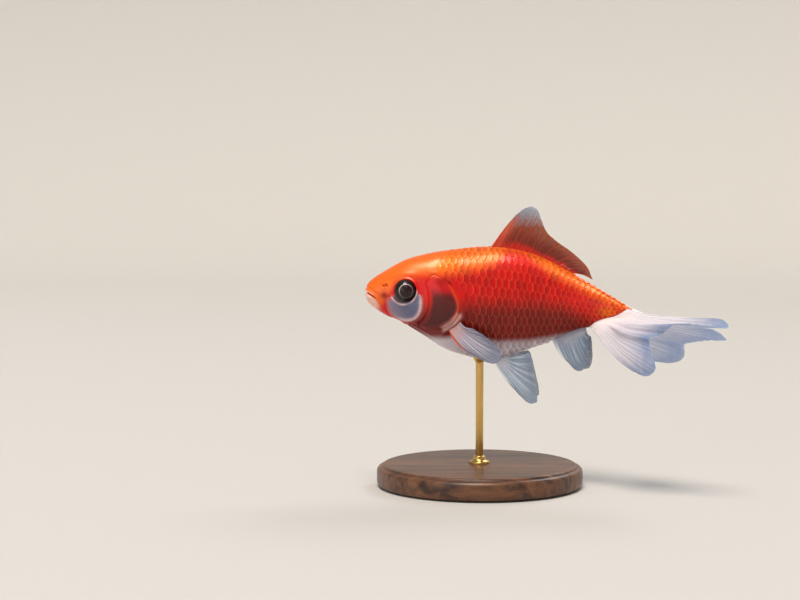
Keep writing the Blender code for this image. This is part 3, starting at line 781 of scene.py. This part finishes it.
def makeScales(name, seats, turnOf, material, mirrored=False, pore=0.0, raised=1.0, tuck=0.0):
    # closed wedges: a curved top that rises from under the skin to a rounded free edge, a rim that
    # drops back under the skin, and a flat underside. The top is rise times a share of it by reach,
    # lower on the first scales, and within tuck millimetres of the ridge and the keel it sinks
    across = np.array(scaleCoat["across"])
    reach, rise = np.array(scaleCoat["steps"]).T[:, :, None]
    random = np.random.default_rng(scaleCoat["seed"])       # both sides alike, to meet on the ridge
    count = len(seats)
    size, lift, tilt = (amount * random.uniform(-1, 1, (count, 1, 1)) for amount in scaleCoat["uneven"])
    tone = random.uniform(0, 1, (count, 1, 1))

    seatAlong, row = seats[:, 0, None, None], seats[:, 1, None, None]
    s, t = scaleOutline(across, reach, rowSpacing(seatAlong))
    along = np.clip(seatAlong + s * (1.0 + size) * seatSize(seatAlong), 0.0, body["length"] - 0.2)
    turn = turnOf(along, row, t * (1.0 + size))
    height = flankPoint(along, turn)[1]
    young = 0.15 + 0.85 * ramp(seatAlong - alongCurve(height, scaleCoat["begins"]), -1.5, 5.5)
    top = scaleCoat["rise"] * raised * rise * (1.0 + lift) * young * (1.0 + tilt * across)
    top = top - scaleCoat["rootDepth"] * (1.0 - reach) + 0.04 * (1.0 - across ** 2) * reach
    top = top - 0.10 * (1.0 - young) * (across ** 2 + 0.6 * (1.0 - reach))
    if tuck:
        fromEdge = np.minimum(np.abs(turn), 1.0 - np.abs(turn)) * halfGirth(along)
        top = (top + scaleCoat["sink"]) * ramp(fromEdge, 0.1, tuck) - scaleCoat["sink"]
    top = top + pore * hump(across, 0.0, 0.2) * hump(reach, 0.72, 0.2) * (row == 0.0)   # lateral line
    upper = bodySkin(along, turn, top, (0.0, 0.0))
    under = bodySkin(along, turn, np.minimum(top, 0.0) - scaleCoat["wall"], (-9.0, 0.0))

    rows, columns = len(reach), len(across)
    border = gridBorder(rows, columns)
    cells, rim = rows * columns, len(border)
    ring = cells + np.arange(rim)
    wall = np.stack([border, ring, np.roll(ring, -1), np.roll(border, -1)], axis=1)
    start = (np.arange(count) * (cells + rim))[:, None, None]
    quads = np.concatenate([gridFaces(rows, columns), wall]) + start
    bottom = ring[::-1] + start
    if mirrored:
        quads, bottom = quads[..., ::-1], bottom[..., ::-1]

    def withRim(grid, rimGrid):
        # a scale's grid and then its underside's rim
        flat, rimFlat = (v.reshape(count, cells, *v.shape[3:]) for v in (grid, rimGrid))
        return np.concatenate([flat, rimFlat[:, border]], axis=1)

    reachAt, acrossAt, toneAt = (np.broadcast_to(v, along.shape) for v in (reach, across, tone))
    rootShare = np.abs(turnOf(seats[:, 0], seats[:, 1], 0.0))
    rootPlace = 0.02 + 0.96 * np.stack([seats[:, 0] / body["length"], rootShare], axis=1)
    patch = np.stack([reachAt - 0.5, acrossAt * 0.5], axis=-1) * scaleCoat["patch"]
    mapPoints = (rootPlace[:, None] + withRim(patch, patch)).reshape(-1, 2)
    shares = {**markings(along, height), "young": young, "reach": reachAt, "tone": toneAt}
    piece = addPiece(name, withRim(upper, under),
                     quads.reshape(-1, 4).tolist() + bottom.reshape(-1, rim).tolist(), material,
                     mapPoints[np.concatenate([quads.ravel(), bottom.ravel()])],
                     {key: withRim(share, share) for key, share in shares.items()}, sharp=50)
    return finishPiece(piece, "body_skin")


eyeball = {
    "radius": 3.6,
    "flatness": 0.83,           # out of the head, as a share of the radius
    "standsOut": 1.7,           # past the plain body
    "pupil": 1.93,
    "silverRing": 2.08,
    "irisEnd": 3.25,
    "rings": 84,
    "columns": 120,
    "dome": 0.20,               # the cornea's rise over the ball
    "glint": 125.0,             # bearing of the brightest part of the silver ring, in degrees
}


def halfWidthAt(along, height):
    # half width of the plain section: its widest half width times the root of 1 minus the square of
    # the height's share of the way from the widest level to the back or belly
    back, belly, half, middle = sectionAt(along)
    reach = back - middle if height > middle else middle - belly
    return half * math.sqrt(max(0.0, 1.0 - ((height - middle) / reach) ** 2))


def makeEyeMaterial():
    # glass eye, painted from behind: a dark iris with a silver ring round a brown-black pupil, deep
    # under a smooth clear coat
    mat, tree = newMaterial("paintedGlassEye", {
        "Base Color": "#120807", "Roughness": 0.35, "Specular IOR Level": 0.1, "Coat Weight": 0.6,
        "Coat Roughness": 0.02})
    colour = layCoats(tree, "#080505", (cloudOf(tree, 0.35, detail=4.0), "#22100C"), ("outerRim", "#3A150C"),
                      ("pupil", "#230604"), ("silver", "#E2D0CA"))
    flecks = cloudOf(tree, 1 / 2.6, detail=2.0, roughness=0.5)
    bowl = addNode(tree, "Math", [flecks, 0.06, "bowl"], operation="MULTIPLY_ADD")
    return finishMaterial(mat, colour, bowl, 0.7, 0.8)


def makeEye(name, side, node, material):
    # a flattened ball: radius times sine and flatness times cosine of the angle from its outer pole,
    # with a low corneal dome raised in front and a shallow groove round the iris
    along, level = face["eye"]
    flat = eyeball["radius"] * eyeball["flatness"]
    out = side * (halfWidthAt(along, level) + eyeball["standsOut"] - flat)
    theta = np.linspace(0.0, math.pi, eyeball["rings"] + 2)[1:-1, None]
    phi = np.linspace(0.0, tau, eyeball["columns"], endpoint=False)[None, :]
    r, front = np.broadcast_arrays(eyeball["radius"] * np.sin(theta), ramp(np.cos(theta), 0.0, 0.25), phi)[:2]
    ahead, up = r * np.cos(phi), r * np.sin(phi)
    dome = front * (eyeball["dome"] * hump(r, 0.0, 2.3) - 0.05 * hump(r, 3.0, 0.2))
    sideways = out + side * (flat * np.cos(theta) + dome)
    heading = np.interp(along, spine[0], spine[3])
    x, y, z = place(along, 0.0, level)
    points = np.stack([x + ahead * math.cos(heading) + sideways * math.sin(heading),
                       y + ahead * math.sin(heading) - sideways * math.cos(heading), z + up], axis=-1)
    lit = 0.14 + 0.86 * hump(np.cos(phi - math.radians(eyeball["glint"])), 1.0, 0.9)
    shares = {
        "pupil": (1.0 - ramp(r, eyeball["pupil"] - 0.06, eyeball["pupil"] + 0.06)) * front,
        "silver": hump(r, eyeball["silverRing"], 0.10) * front * lit,
        "outerRim": ramp(r, eyeball["irisEnd"] - 0.1, eyeball["irisEnd"] + 0.15),
        "bowl": (0.6 * hump(r, 0.0, 1.5) + 0.5 * ramp(r, 2.1, 3.2)
                 + 0.25 * hump(r, eyeball["silverRing"], 0.16)),
    }
    turn = -1 if side > 0 else 1                                # the left eye's faces run the other way
    faces = [row for part in ringFaces(*r.shape) for row in part[:, ::turn].tolist()]
    piece = addPiece(name, withPoles(points), faces, material, None,
                     {key: withPoles(share) for key, share in shares.items()})
    return finishPiece(piece, "eye", node)


def ridgeRoot(start, end, count=5):
    # the dorsal fin's root, 0.4 mm clear of the back
    along = np.linspace(start, end, count)
    return [(a, 0.0, b + 0.4) for a, b in zip(along, sectionAt(along)[0])]


tailRoot = [(84.2, 0.6, -2.4), (80.2, 1.1, -4.9), (76.2, 1.4, -6.1), (73.0, 1.5, -7.5), (71.2, 1.1, -9.0)]

finSheets = {
    # root and margin from the leading ray to the last one, and what bows the sheet. The colours are
    # the root's, the web's, the tip's, the leading ray's, the rays' and that of the lines beside them
    "dorsal_fin": {
        "root": ridgeRoot(39.4, 65.3),
        "margin": [(46.6, 0.0, 26.3), (49.2, 0.0, 28.3), (51.4, 0.0, 28.9), (53.4, 0.0, 27.8),
                   (54.7, 0.0, 24.5), (56.3, 0.0, 21.0), (59.6, 0.0, 18.0), (63.3, 0.0, 15.4),
                   (66.9, 0.0, 12.5), (69.3, 0.0, 10.0), (70.7, 0.0, 6.5)],
        "bow": (0.0, 0.0, 0.4), "rays": 19, "steps": 84, "wave": 0.5, "waves": 2.1, "swell": 0.42,
        "tuck": 0.0, "tipLevel": (21.8, 28.4), "rootEnd": 0.20, "leadRays": (0.7, 3.4),
        "colours": ("#BE1E0A", "#742210", "#8793A0", "#C2442A", "#9A3414", "#38100A"), "clear": 0.22,
    },
    "pectoral_fin": {
        "root": [(25.3, 8.1, -7.8), (26.9, 8.8, -6.4), (28.4, 9.3, -5.2)],
        "margin": [(31.6, 10.0, -15.5), (34.7, 10.5, -17.1), (37.4, 10.9, -18.2), (39.8, 11.2, -18.6),
                   (41.4, 11.4, -17.6), (41.6, 11.4, -15.4), (39.9, 11.3, -12.9), (36.8, 11.0, -10.4),
                   (32.7, 10.5, -8.0)],
        "bow": (-0.6, 0.6, -0.6), "rays": 13, "steps": 70, "wave": 0.35, "waves": 1.4, "swell": 0.55,
        "tuck": -2.6,
        "colours": ("#D9A396", "#A5A1B4", "#7E8AA2", "#DE4A22", "#D8D3DF", "#77738C"), "clear": 0.35,
    },
    "pelvic_fin": {
        "root": [(39.9, 2.6, -18.6), (41.8, 3.3, -18.3), (43.9, 3.8, -17.7)],
        "margin": [(46.1, 8.0, -26.2), (49.7, 10.0, -30.5), (53.0, 10.0, -31.0), (53.9, 9.5, -29.3),
                   (52.7, 7.5, -22.5), (51.6, 5.9, -17.5), (50.6, 4.6, -16.0)],
        "bow": (-0.6, 0.3, -0.2), "rays": 10, "steps": 70, "wave": 0.35, "waves": 1.2, "swell": 0.5,
        "tuck": -0.8,
        "colours": ("#C6C4CF", "#8496A8", "#66798F", "#D9DEE6", "#B4C0CC", "#586C82"), "clear": 0.30,
    },
    "anal_fin": {
        "root": [(58.4, 0.8, -13.0), (63.6, 0.9, -10.9), (68.6, 0.9, -9.3)],
        "margin": [(62.9, 2.8, -18.5), (65.3, 3.6, -20.5), (67.1, 4.0, -21.4), (68.8, 4.0, -21.0),
                   (69.7, 3.5, -18.6), (69.9, 2.4, -14.9), (69.9, 1.5, -11.2)],
        "bow": (-0.4, 0.2, -0.2), "rays": 9, "steps": 54, "wave": 0.25, "waves": 1.2, "swell": 0.4,
        "tuck": -0.4,
        "colours": ("#ABA9B6", "#74869A", "#5C6F86", "#CDD3DC", "#A3B0BE", "#4C5F76"), "clear": 0.30,
    },
    "tail_fin_left": {
        "root": tailRoot,
        "margin": [(109.9, 1.6, -3.9), (115.0, 2.2, -3.8), (117.4, 4.4, -5.5), (114.4, 6.2, -5.6),
                   (109.0, 7.6, -5.3), (103.8, 8.6, -5.3), (99.0, 9.4, -6.8), (95.8, 10.2, -9.0),
                   (95.4, 11.0, -11.6), (97.0, 12.0, -14.8), (98.4, 12.6, -17.8), (96.8, 12.4, -20.0),
                   (93.4, 11.6, -20.9), (88.8, 10.0, -19.8)],
        "bow": (-0.6, 1.0, -0.6), "rays": 20, "steps": 92, "wave": 0.35, "waves": 2.6, "swell": 0.8,
        "tuck": 0.0, "fold": 0.52,
        "colours": ("#F6EAEA", "#E9E1EE", "#6F8CB8", "#F8F2F6", "#F6F0F6", "#A49EBE"), "clear": 0.2,
    },
    "tail_fin_right": {
        "root": tailRoot,
        "margin": [(105.9, 1.5, -6.2), (110.7, 2.0, -7.6), (113.6, 2.5, -10.3), (107.6, 3.5, -10.7),
                   (101.5, 5.0, -11.4), (96.3, 7.0, -12.4), (96.9, 8.5, -14.4), (96.6, 9.5, -16.4),
                   (94.8, 10.0, -18.1), (91.6, 9.5, -18.9), (86.9, 8.5, -18.6)],
        "bow": (-0.6, 1.0, -0.6), "rays": 20, "steps": 92, "wave": 0.35, "waves": 2.2, "swell": 0.8,
        "tuck": 0.0, "fold": 0.52,
        # painted shade: its web, rays and the lines beside them are bluer and darker than the left tail's, as
        # a far lobe in shade
        "colours": ("#F3E8EA", "#CBD6F6", "#7E9CD0", "#F0ECF3", "#E8ECFA", "#8C9AC4"), "clear": 0.25,
    },
}
finForm = {
    "perRay": 15,               # columns from ray to ray
    "webThickness": 0.17,
    "rayHeight": 0.11,
    "rayWidth": 0.19,
    "rootDepth": 1.6,           # how far the rays run on under the skin
    "scallop": 0.003,           # of a ray's length, between branch tips
    "rootEnd": 0.42,            # where the root's colour has faded, as a share of the way out
    "leadRays": (0.5, 1.3),     # the leading ray's colour fades between these rays
}


def rayPattern(share, rays, step, cell):
    # how strongly a place lies on a ray: a bell curve of the distance to the nearest branch. Each ray
    # forks into two and then four: distance = || |x| - first | - second |, in shares of a cell
    x = np.abs((share * rays) % 1.0 - 0.5)
    first = 0.19 * ramp(step, 0.22, 0.95)
    second = 0.10 * ramp(step, 0.50, 1.10)
    gap = np.abs(np.abs(x - first) - second)
    width = np.minimum(finForm["rayWidth"], 0.26 * cell) * (1.0 - 0.45 * step)
    return hump(gap * cell, 0.0, width)


def makeFinMaterial(name, fin):
    # resin fin web, tinted in thin coats: paler rays, darker lines beside them, a grey-blue margin,
    # and a little see-through towards the margin; ray joints drawn 0.8 mm apart, coarser than life
    rootCode, webCode, tipCode, leadCode, rayCode, gapCode = fin["colours"]
    mat, tree = newMaterial("tintedResin_" + name, {
        "Base Color": webCode, "Roughness": 0.38, "Specular IOR Level": 0.3, "Subsurface Weight": 0.5,
        "Subsurface Scale": 0.0015, "Subsurface Radius": (1.0, 0.9, 0.9), "Coat Weight": 0.15,
        "Coat Roughness": 0.2})
    cloud = addNode(tree, "MapRange", [cloudOf(tree, 2.2), 0.3, 0.7, -0.10, 0.10])
    loose = addNode(tree, "Math", ["step", cloud], operation="ADD")
    root = addNode(tree, "MapRange", [loose, 0.02, fin["rootEnd"], 1.0, 0.0])
    tip = addNode(tree, "Math", ["tip", cloud, "tip"], operation="MULTIPLY_ADD", use_clamp=True)
    gap = addNode(tree, "Math", ["gap", 0.45], operation="MULTIPLY")
    ray = addNode(tree, "Math", [0.8, tip], operation="SUBTRACT")
    ray = addNode(tree, "Math", [ray, "ray"], operation="MULTIPLY")
    bare = addNode(tree, "Math", [1.0, root], operation="SUBTRACT")
    ray = addNode(tree, "Math", [ray, bare], operation="MULTIPLY")
    colour = layCoats(tree, webCode, (root, rootCode), (tip, tipCode), (gap, gapCode), (ray, rayCode),
                      ("lead", leadCode))
    joints = addNode(tree, "Math", [wavesOf(tree, "reach", 0.8), "ray"], operation="MULTIPLY")
    return finishMaterial(mat, colour, joints, 0.03, 0.6, Alpha="cover")


def makeFin(name, side, fin, material, node):
    # a sheet of rays from root to margin, each point root + (margin - root) * step + bow *
    # sin(pi * step), given two faces apart by the web's thickness plus the rays, and closed all round
    wide = fin["rays"] * fin["perRay"] + 1
    share = np.linspace(0.0, 1.0, wide)[:, None]
    root, margin = (resample(fin[key], wide)[:, None, :] for key in ("root", "margin"))
    length = np.linalg.norm(margin - root, axis=-1)
    inside = -fin["rootDepth"] / length
    fraction = np.linspace(0.0, 1.0, fin["steps"] + 1)[None, :] ** 0.9
    step = inside + (1.0 - inside) * fraction
    random = np.random.default_rng(len(name) + int(side > 0))
    nicks = sum(0.008 * hump(share, random.uniform(0.1, 0.9), 0.012) for _ in range(4))
    notch = fin["scallop"] * (0.5 + 0.5 * np.cos(tau * share * fin["rays"])) + nicks
    drawn = (step * (1.0 - notch * ramp(step, 0.75, 1.0)))[..., None]
    blade = root + (margin - root) * drawn + np.asarray(fin["bow"]) * np.sin(math.pi * drawn)
    blade[..., 1] += fin["tuck"] * np.exp(-np.maximum(step * length + fin["rootDepth"], 0.0) / 1.6)
    points = place(blade[..., 0], blade[..., 1] * side, blade[..., 2])
    overShare = np.gradient(points, axis=0)
    normal = unit(np.cross(overShare, np.gradient(points, axis=1)))

    # the sheet's waves, a pleat along each ray, and the rays' own height
    cell = np.linalg.norm(overShare, axis=-1) * fin["perRay"]
    uneven = share + 0.28 / fin["rays"] * np.sin(share * fin["rays"] * 1.9 + 0.8)
    ray = rayPattern(uneven, fin["rays"], step, cell)
    wave = fin["wave"] * ramp(step, 0.2, 1.1) * np.sin(tau * fin["waves"] * share + 1.3 * step + 0.7)
    wave = wave + 0.03 * cell * ramp(step, 0.0, 0.5) * np.cos(tau * uneven * fin["rays"])
    if "fold" in fin:
        # the tail's upper lobe hangs over the lower one along a fold that runs out from the root
        crease = 1.3 * hump(share, fin["fold"] - 0.035, 0.045) - 1.2 * hump(share, fin["fold"] + 0.045, 0.035)
        wave = wave - side * crease * ramp(step, 0.02, 0.45)
    fromRoot = np.clip(step, 0, 1) * length
    half = fin["webThickness"] / 2.0 * (1.0 - 0.35 * step) + fin["swell"] * np.exp(-fromRoot / 1.8)
    half += np.minimum(fin["rayHeight"], 0.12 * cell) * ray * (1.0 - 0.72 * step)
    half *= np.sqrt(np.clip(np.minimum(share, 1.0 - share) * fin["rays"] * 1.2 + 0.06, 0.0, 1.0))
    half += 0.30 * hump(share * fin["rays"], 0.25, 0.22) * (1 - 0.7 * step)     # the stout leading ray
    half *= np.sqrt(np.clip((1.0 - step) * 14.0 + 0.12, 0.0, 1.0))
    sheets = [points + normal * (wave + part)[..., None] for part in (half, -half)]

    rows, columns = step.shape
    cells = rows * columns
    top, border = gridFaces(rows, columns), gridBorder(rows, columns)
    after = np.roll(border, -1)
    faces = np.concatenate([top[:, ::-1], top + cells,
                            np.stack([border, after, after + cells, border + cells], axis=1)])
    u, v = (np.broadcast_to(part, step.shape).ravel() for part in (0.47 * share, 0.01 + 0.98 * fraction))
    mapPoints = np.concatenate([np.stack([start + u, v], axis=1) for start in (0.01, 0.52)])
    lead = (1.0 - ramp(share * fin["rays"], *fin["leadRays"])) * (1.0 - ramp(step, 0.55, 1.0))
    shares = {
        "step": step,
        "ray": ray,
        "gap": hump(ray, 0.25, 0.22) * span(step, 0.05, 0.2, 0.85, 1.0),
        "lead": lead,
        "cover": 1.0 - fin["clear"] * ramp(step, 0.1, 0.9) * (1.0 - 0.8 * ray) * (1.0 - lead),
        "reach": fromRoot,
        "tip": ramp(blade[..., 2], *fin["tipLevel"]) if "tipLevel" in fin else ramp(step, 0.42, 1.04),
    }
    piece = addPiece(name, sheets, faces.tolist(), material, mapPoints[faces.ravel()],
                     {key: np.tile(value.ravel(), 2) for key, value in shares.items()})
    return finishPiece(piece, "dorsal_web" if name == "dorsal_fin_web" else "fin_web", node)


def makeFins():
    # the paired fins are mirrored from the left one; the dorsal and the two tail fins are their own
    for name, fin in finSheets.items():
        fin = {**finForm, **fin}
        material = makeFinMaterial(name, fin)
        sides = {"_left": 1, "_right": -1}
        if name.startswith(("dorsal", "tail")):
            sides = {"": -1 if name.endswith("right") else 1}
        for word, side in sides.items():
            makeFin(name + word + "_web", side, fin, material, name + word)


stand = {
    "rodAlong": 35.6,
    "rodRadius": 1.2,
    "rodInBody": 5.0,
    "foot": 7.0,                # the top of the base
    "columns": 144,
    # radius and height up each turned profile
    "base": [(0.0, 0.4), (30.6, 0.4), (31.4, 0.6), (31.85, 1.1), (32.0, 1.9), (32.0, 4.7), (31.9, 5.4),
             (31.5, 5.95), (30.9, 6.2), (30.5, 6.22), (30.3, 6.34), (30.24, 6.6), (30.0, 6.86), (29.5, 7.0),
             (0.0, 7.0)],
    "felt": [(0.0, 0.0), (29.6, 0.0), (30.0, 0.15), (30.0, 0.5), (0.0, 0.5)],
    "collar": [(0.9, 6.9), (3.2, 6.9), (3.2, 7.55), (3.05, 7.8), (2.6, 7.95), (2.2, 8.15), (1.95, 8.5),
               (1.9, 9.0), (1.8, 9.35), (1.55, 9.5), (0.9, 9.5)],
    # the rod's swelling under the belly: radius past the rod's own, and height over the belly
    "seat": [(0.0, -1.6), (0.15, -1.2), (0.75, -0.1), (0.9, 0.5), (0.7, 0.9), (0.0, 1.2)],
}


def rounded(profile, size=0.12, count=4):
    # the profile with every corner cut by a short curve: a parabola between points size from it
    rows = np.asarray(profile, float)
    kept = [rows[0]]
    for before, corner, after in zip(rows[:-2], rows[1:-1], rows[2:]):
        start = corner + (before - corner) * min(0.45, size / np.linalg.norm(before - corner))
        end = corner + (after - corner) * min(0.45, size / np.linalg.norm(after - corner))
        t = np.linspace(0.0, 1.0, count)[:, None]
        kept.extend(start * (1 - t) ** 2 + corner * 2 * t * (1 - t) + end * t ** 2)
    kept.append(rows[-1])
    return np.array(kept)


def turnedPoints(radius, height, centre, columns):
    # circles of each radius at each height about an upright axis
    angle = np.linspace(0.0, tau, columns, endpoint=False)
    x, y = (radius[:, None] * wave(angle) + c for wave, c in zip((np.cos, np.sin), centre))
    return np.stack([x, y, np.broadcast_to(height[:, None], x.shape)], axis=-1)


def turned(name, profile, centre, material, slot, *nodes):
    # a profile of (radius, height) turned about an upright axis through centre, closed at both ends
    rows = rounded(profile)
    columns = stand["columns"]
    points = turnedPoints(np.maximum(rows[:, 0], 0.02), rows[:, 1], centre, columns)
    faces = gridFaces(len(rows), columns, closed=True).tolist()
    last = (len(rows) - 1) * columns
    faces += [list(range(columns))[::-1], list(range(last, last + columns))]
    piece = addPiece(name, points, faces, material, sharp=40)
    return finishPiece(piece, slot, *nodes)


def makeWalnutMaterial():
    # oiled walnut turned on the lathe: straight grain 2.4 mm wide along X, pores 0.3 mm wide, satin
    # sheen
    mat, tree = newMaterial("oiledWalnut", {
        "Base Color": "#4A2C1A", "Roughness": 0.45, "IOR": 1.45, "Coat Weight": 0.2, "Coat Roughness": 0.25})
    bands = cloudOf(tree, 1 / 0.42, 5.0, 0.5, (0.07, 1.0, 0.6), distortion=0.6)
    fine = cloudOf(tree, 1 / 3, 2.0, 0.5, (0.05, 1.0, 1.0))
    grain = addNode(tree, "MapRange", [bands, 0.32, 0.68, 0.0, 1.0])
    pore = addNode(tree, "MapRange", [fine, 0.60, 0.70, 0.0, 0.7])
    colour = layCoats(tree, "#33190D", (grain, "#7A4E30"), (pore, "#1E0F08"))
    return finishMaterial(mat, colour, fine, 0.03, 0.4)


def makeBrassMaterial():
    # lathe-turned brass left satin: fine rings round the axis 0.25 mm apart
    mat, tree = newMaterial("turnedSatinBrass", {
        "Base Color": "#C9A45C", "Metallic": 1.0, "Roughness": 0.28})
    height = addNode(tree, "SeparateXYZ", [addNode(tree, "TexCoord", [], "Object")], 2)
    colour = layCoats(tree, "#C49B50", (cloudOf(tree, 3.0), "#D9B873"))
    return finishMaterial(mat, colour, wavesOf(tree, height, 0.25 * millimetre), 0.004, 0.4)


def makeFeltMaterial():
    # pressed wool felt, dark green, with a nap of short fibres drawn 0.4 mm across
    mat, tree = newMaterial("pressedWoolFelt", {
        "Base Color": "#20301F", "Roughness": 0.95, "Sheen Weight": 0.3})
    nap = cloudOf(tree, 0.4)
    return finishMaterial(mat, layCoats(tree, "#1A281A", (nap, "#2C3F2A")), nap, 0.08, 0.7)


def makeStand():
    # a turned base on a felt pad, and a rod that swells where it meets the belly and ends inside it
    rodFoot = place(stand["rodAlong"], 0.0, 0.0)
    belly = sectionAt(stand["rodAlong"])[1] + body["axisHeight"]
    r, top = stand["rodRadius"], belly + stand["rodInBody"]
    rod = [(0.0, stand["foot"]), (r, stand["foot"]), *((r + out, belly + up) for out, up in stand["seat"]),
           (r, top - 0.3), (r - 0.3, top), (0.0, top)]
    middle = [(low + high) / 2.0 / millimetre for low, high in zip(*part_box("stand_base"))]
    brass = makeBrassMaterial()
    turned("turned_base", stand["base"], middle, makeWalnutMaterial(), "stand_wood", "stand_base")
    turned("felt_pad", stand["felt"], middle, makeFeltMaterial(), "stand_wood")
    turned("turned_collar", stand["collar"], rodFoot, brass, "stand_brass", "stand_collar")
    turned("turned_rod", rod, rodFoot, brass, "stand_brass", "stand_rod")


cameraSetup = {"aim": (-24.8, 0.0, 58.0), "distance": 585.0, "elevation": 4.0, "lens": 85.0}
stage = {
    # millimetres: the flat floor's radius, the bend's own radius, the wall's height
    "floor": 1200.0, "bend": 700.0, "wall": 1250.0, "columns": 96, "paint": "#CAC8C5",
    "sky": "#E8EDF5", "skyStrength": 0.42,
    # name, kind, place and aim in metres, size (a sun's in degrees), strength, colour
    "lamps": [
        ("key_light", "SUN", (-0.06, -0.20, 0.62), (0.0, 0.0, 0.06), 24.0, 2.7, "#FFF4E6"),
        ("fill_light", "AREA", (-0.60, -0.70, 0.25), (0.0, 0.0, 0.06), 0.6, 1.0, "#EAF0FF"),
        ("rim_light", "SUN", (0.30, 0.45, 0.45), (0.0, 0.0, 0.06), 30.0, 1.2, "#FFFFFF"),
    ],
}


def aimed(name, data, spot, aim):
    # a lamp or camera at a place in metres, its own -Z turned towards its aim
    holder = bpy.data.objects.new(name, data)
    x, y, z = np.subtract(aim, spot)
    holder.location = spot
    holder.rotation_euler = (math.atan2(math.hypot(x, y), -z), 0.0, math.atan2(y, x) - math.pi / 2.0)
    bpy.context.scene.collection.objects.link(holder)
    return holder


def makeStage():
    # a pale floor that rises all round into a wall: a profile with a quarter circle, turned about Z
    bend, columns = np.linspace(0.0, math.pi / 2.0, 17), stage["columns"]
    edge = stage["floor"] + stage["bend"]
    radius = np.concatenate([[0.02, 400.0, 900.0], stage["floor"] + stage["bend"] * np.sin(bend), [edge]])
    height = np.concatenate([[0.0] * 3, stage["bend"] - stage["bend"] * np.cos(bend), [stage["wall"]]])
    points = turnedPoints(radius, height, (0.0, 0.0), columns)
    paint = newMaterial("mattStagePaint", {"Base Color": stage["paint"], "Roughness": 0.9})[0]
    faces = gridFaces(len(radius), columns, closed=True)[:, ::-1].tolist()
    addPiece("stage_floor", points, faces, paint)
    for name, kind, spot, aim, size, strength, colour in stage["lamps"]:
        lamp = bpy.data.lights.new(name, kind)
        lamp.energy, lamp.color = strength, linearColour(colour)[:3]
        if kind == "SUN":
            lamp.angle = math.radians(size)
        else:
            lamp.shape, lamp.size = "DISK", size
        aimed(name, lamp, spot, aim)
    world = bpy.data.worlds.new("studio")
    world.use_nodes = True
    fillInputs(world.node_tree.nodes["Background"], {"Color": stage["sky"], "Strength": stage["skyStrength"]})
    bpy.context.scene.world = world


def makeCamera():
    # the camera looks along Y at its aim from a distance, raised by its elevation
    lens = bpy.data.cameras.new("camera")
    lens.lens, lens.sensor_width = cameraSetup["lens"], 36.0
    lens.clip_start, lens.clip_end = 0.01, 20.0
    tilt, aim = math.radians(cameraSetup["elevation"]), np.array(cameraSetup["aim"]) * millimetre
    back = np.array([0.0, -math.cos(tilt), math.sin(tilt)]) * cameraSetup["distance"] * millimetre
    bpy.context.scene.camera = aimed("camera", lens, aim + back, aim)
    bpy.context.scene.view_settings.view_transform = "Standard"


print("stage and camera")
makeCamera()
makeStage()
print("skin")
makeSkin(makeSkinMaterial())
print("scales")
seats = scaleSeats()
scaleMaterial = makeScaleMaterial()
makeScales("scales_left", seats, flankTurn(1), scaleMaterial, pore=0.20, tuck=1.4)
makeScales("scales_right", seats, flankTurn(-1), scaleMaterial, mirrored=True, pore=0.20, tuck=1.4)
makeScales("scales_midline", midlineSeats(), midlineTurn, scaleMaterial, raised=1.15)

print("eyes, fins and stand")
eyeMaterial = makeEyeMaterial()
makeEye("glass_eye_left", 1, "eye_left", eyeMaterial)
makeEye("glass_eye_right", -1, "eye_right", eyeMaterial)
makeFins()
makeStand()
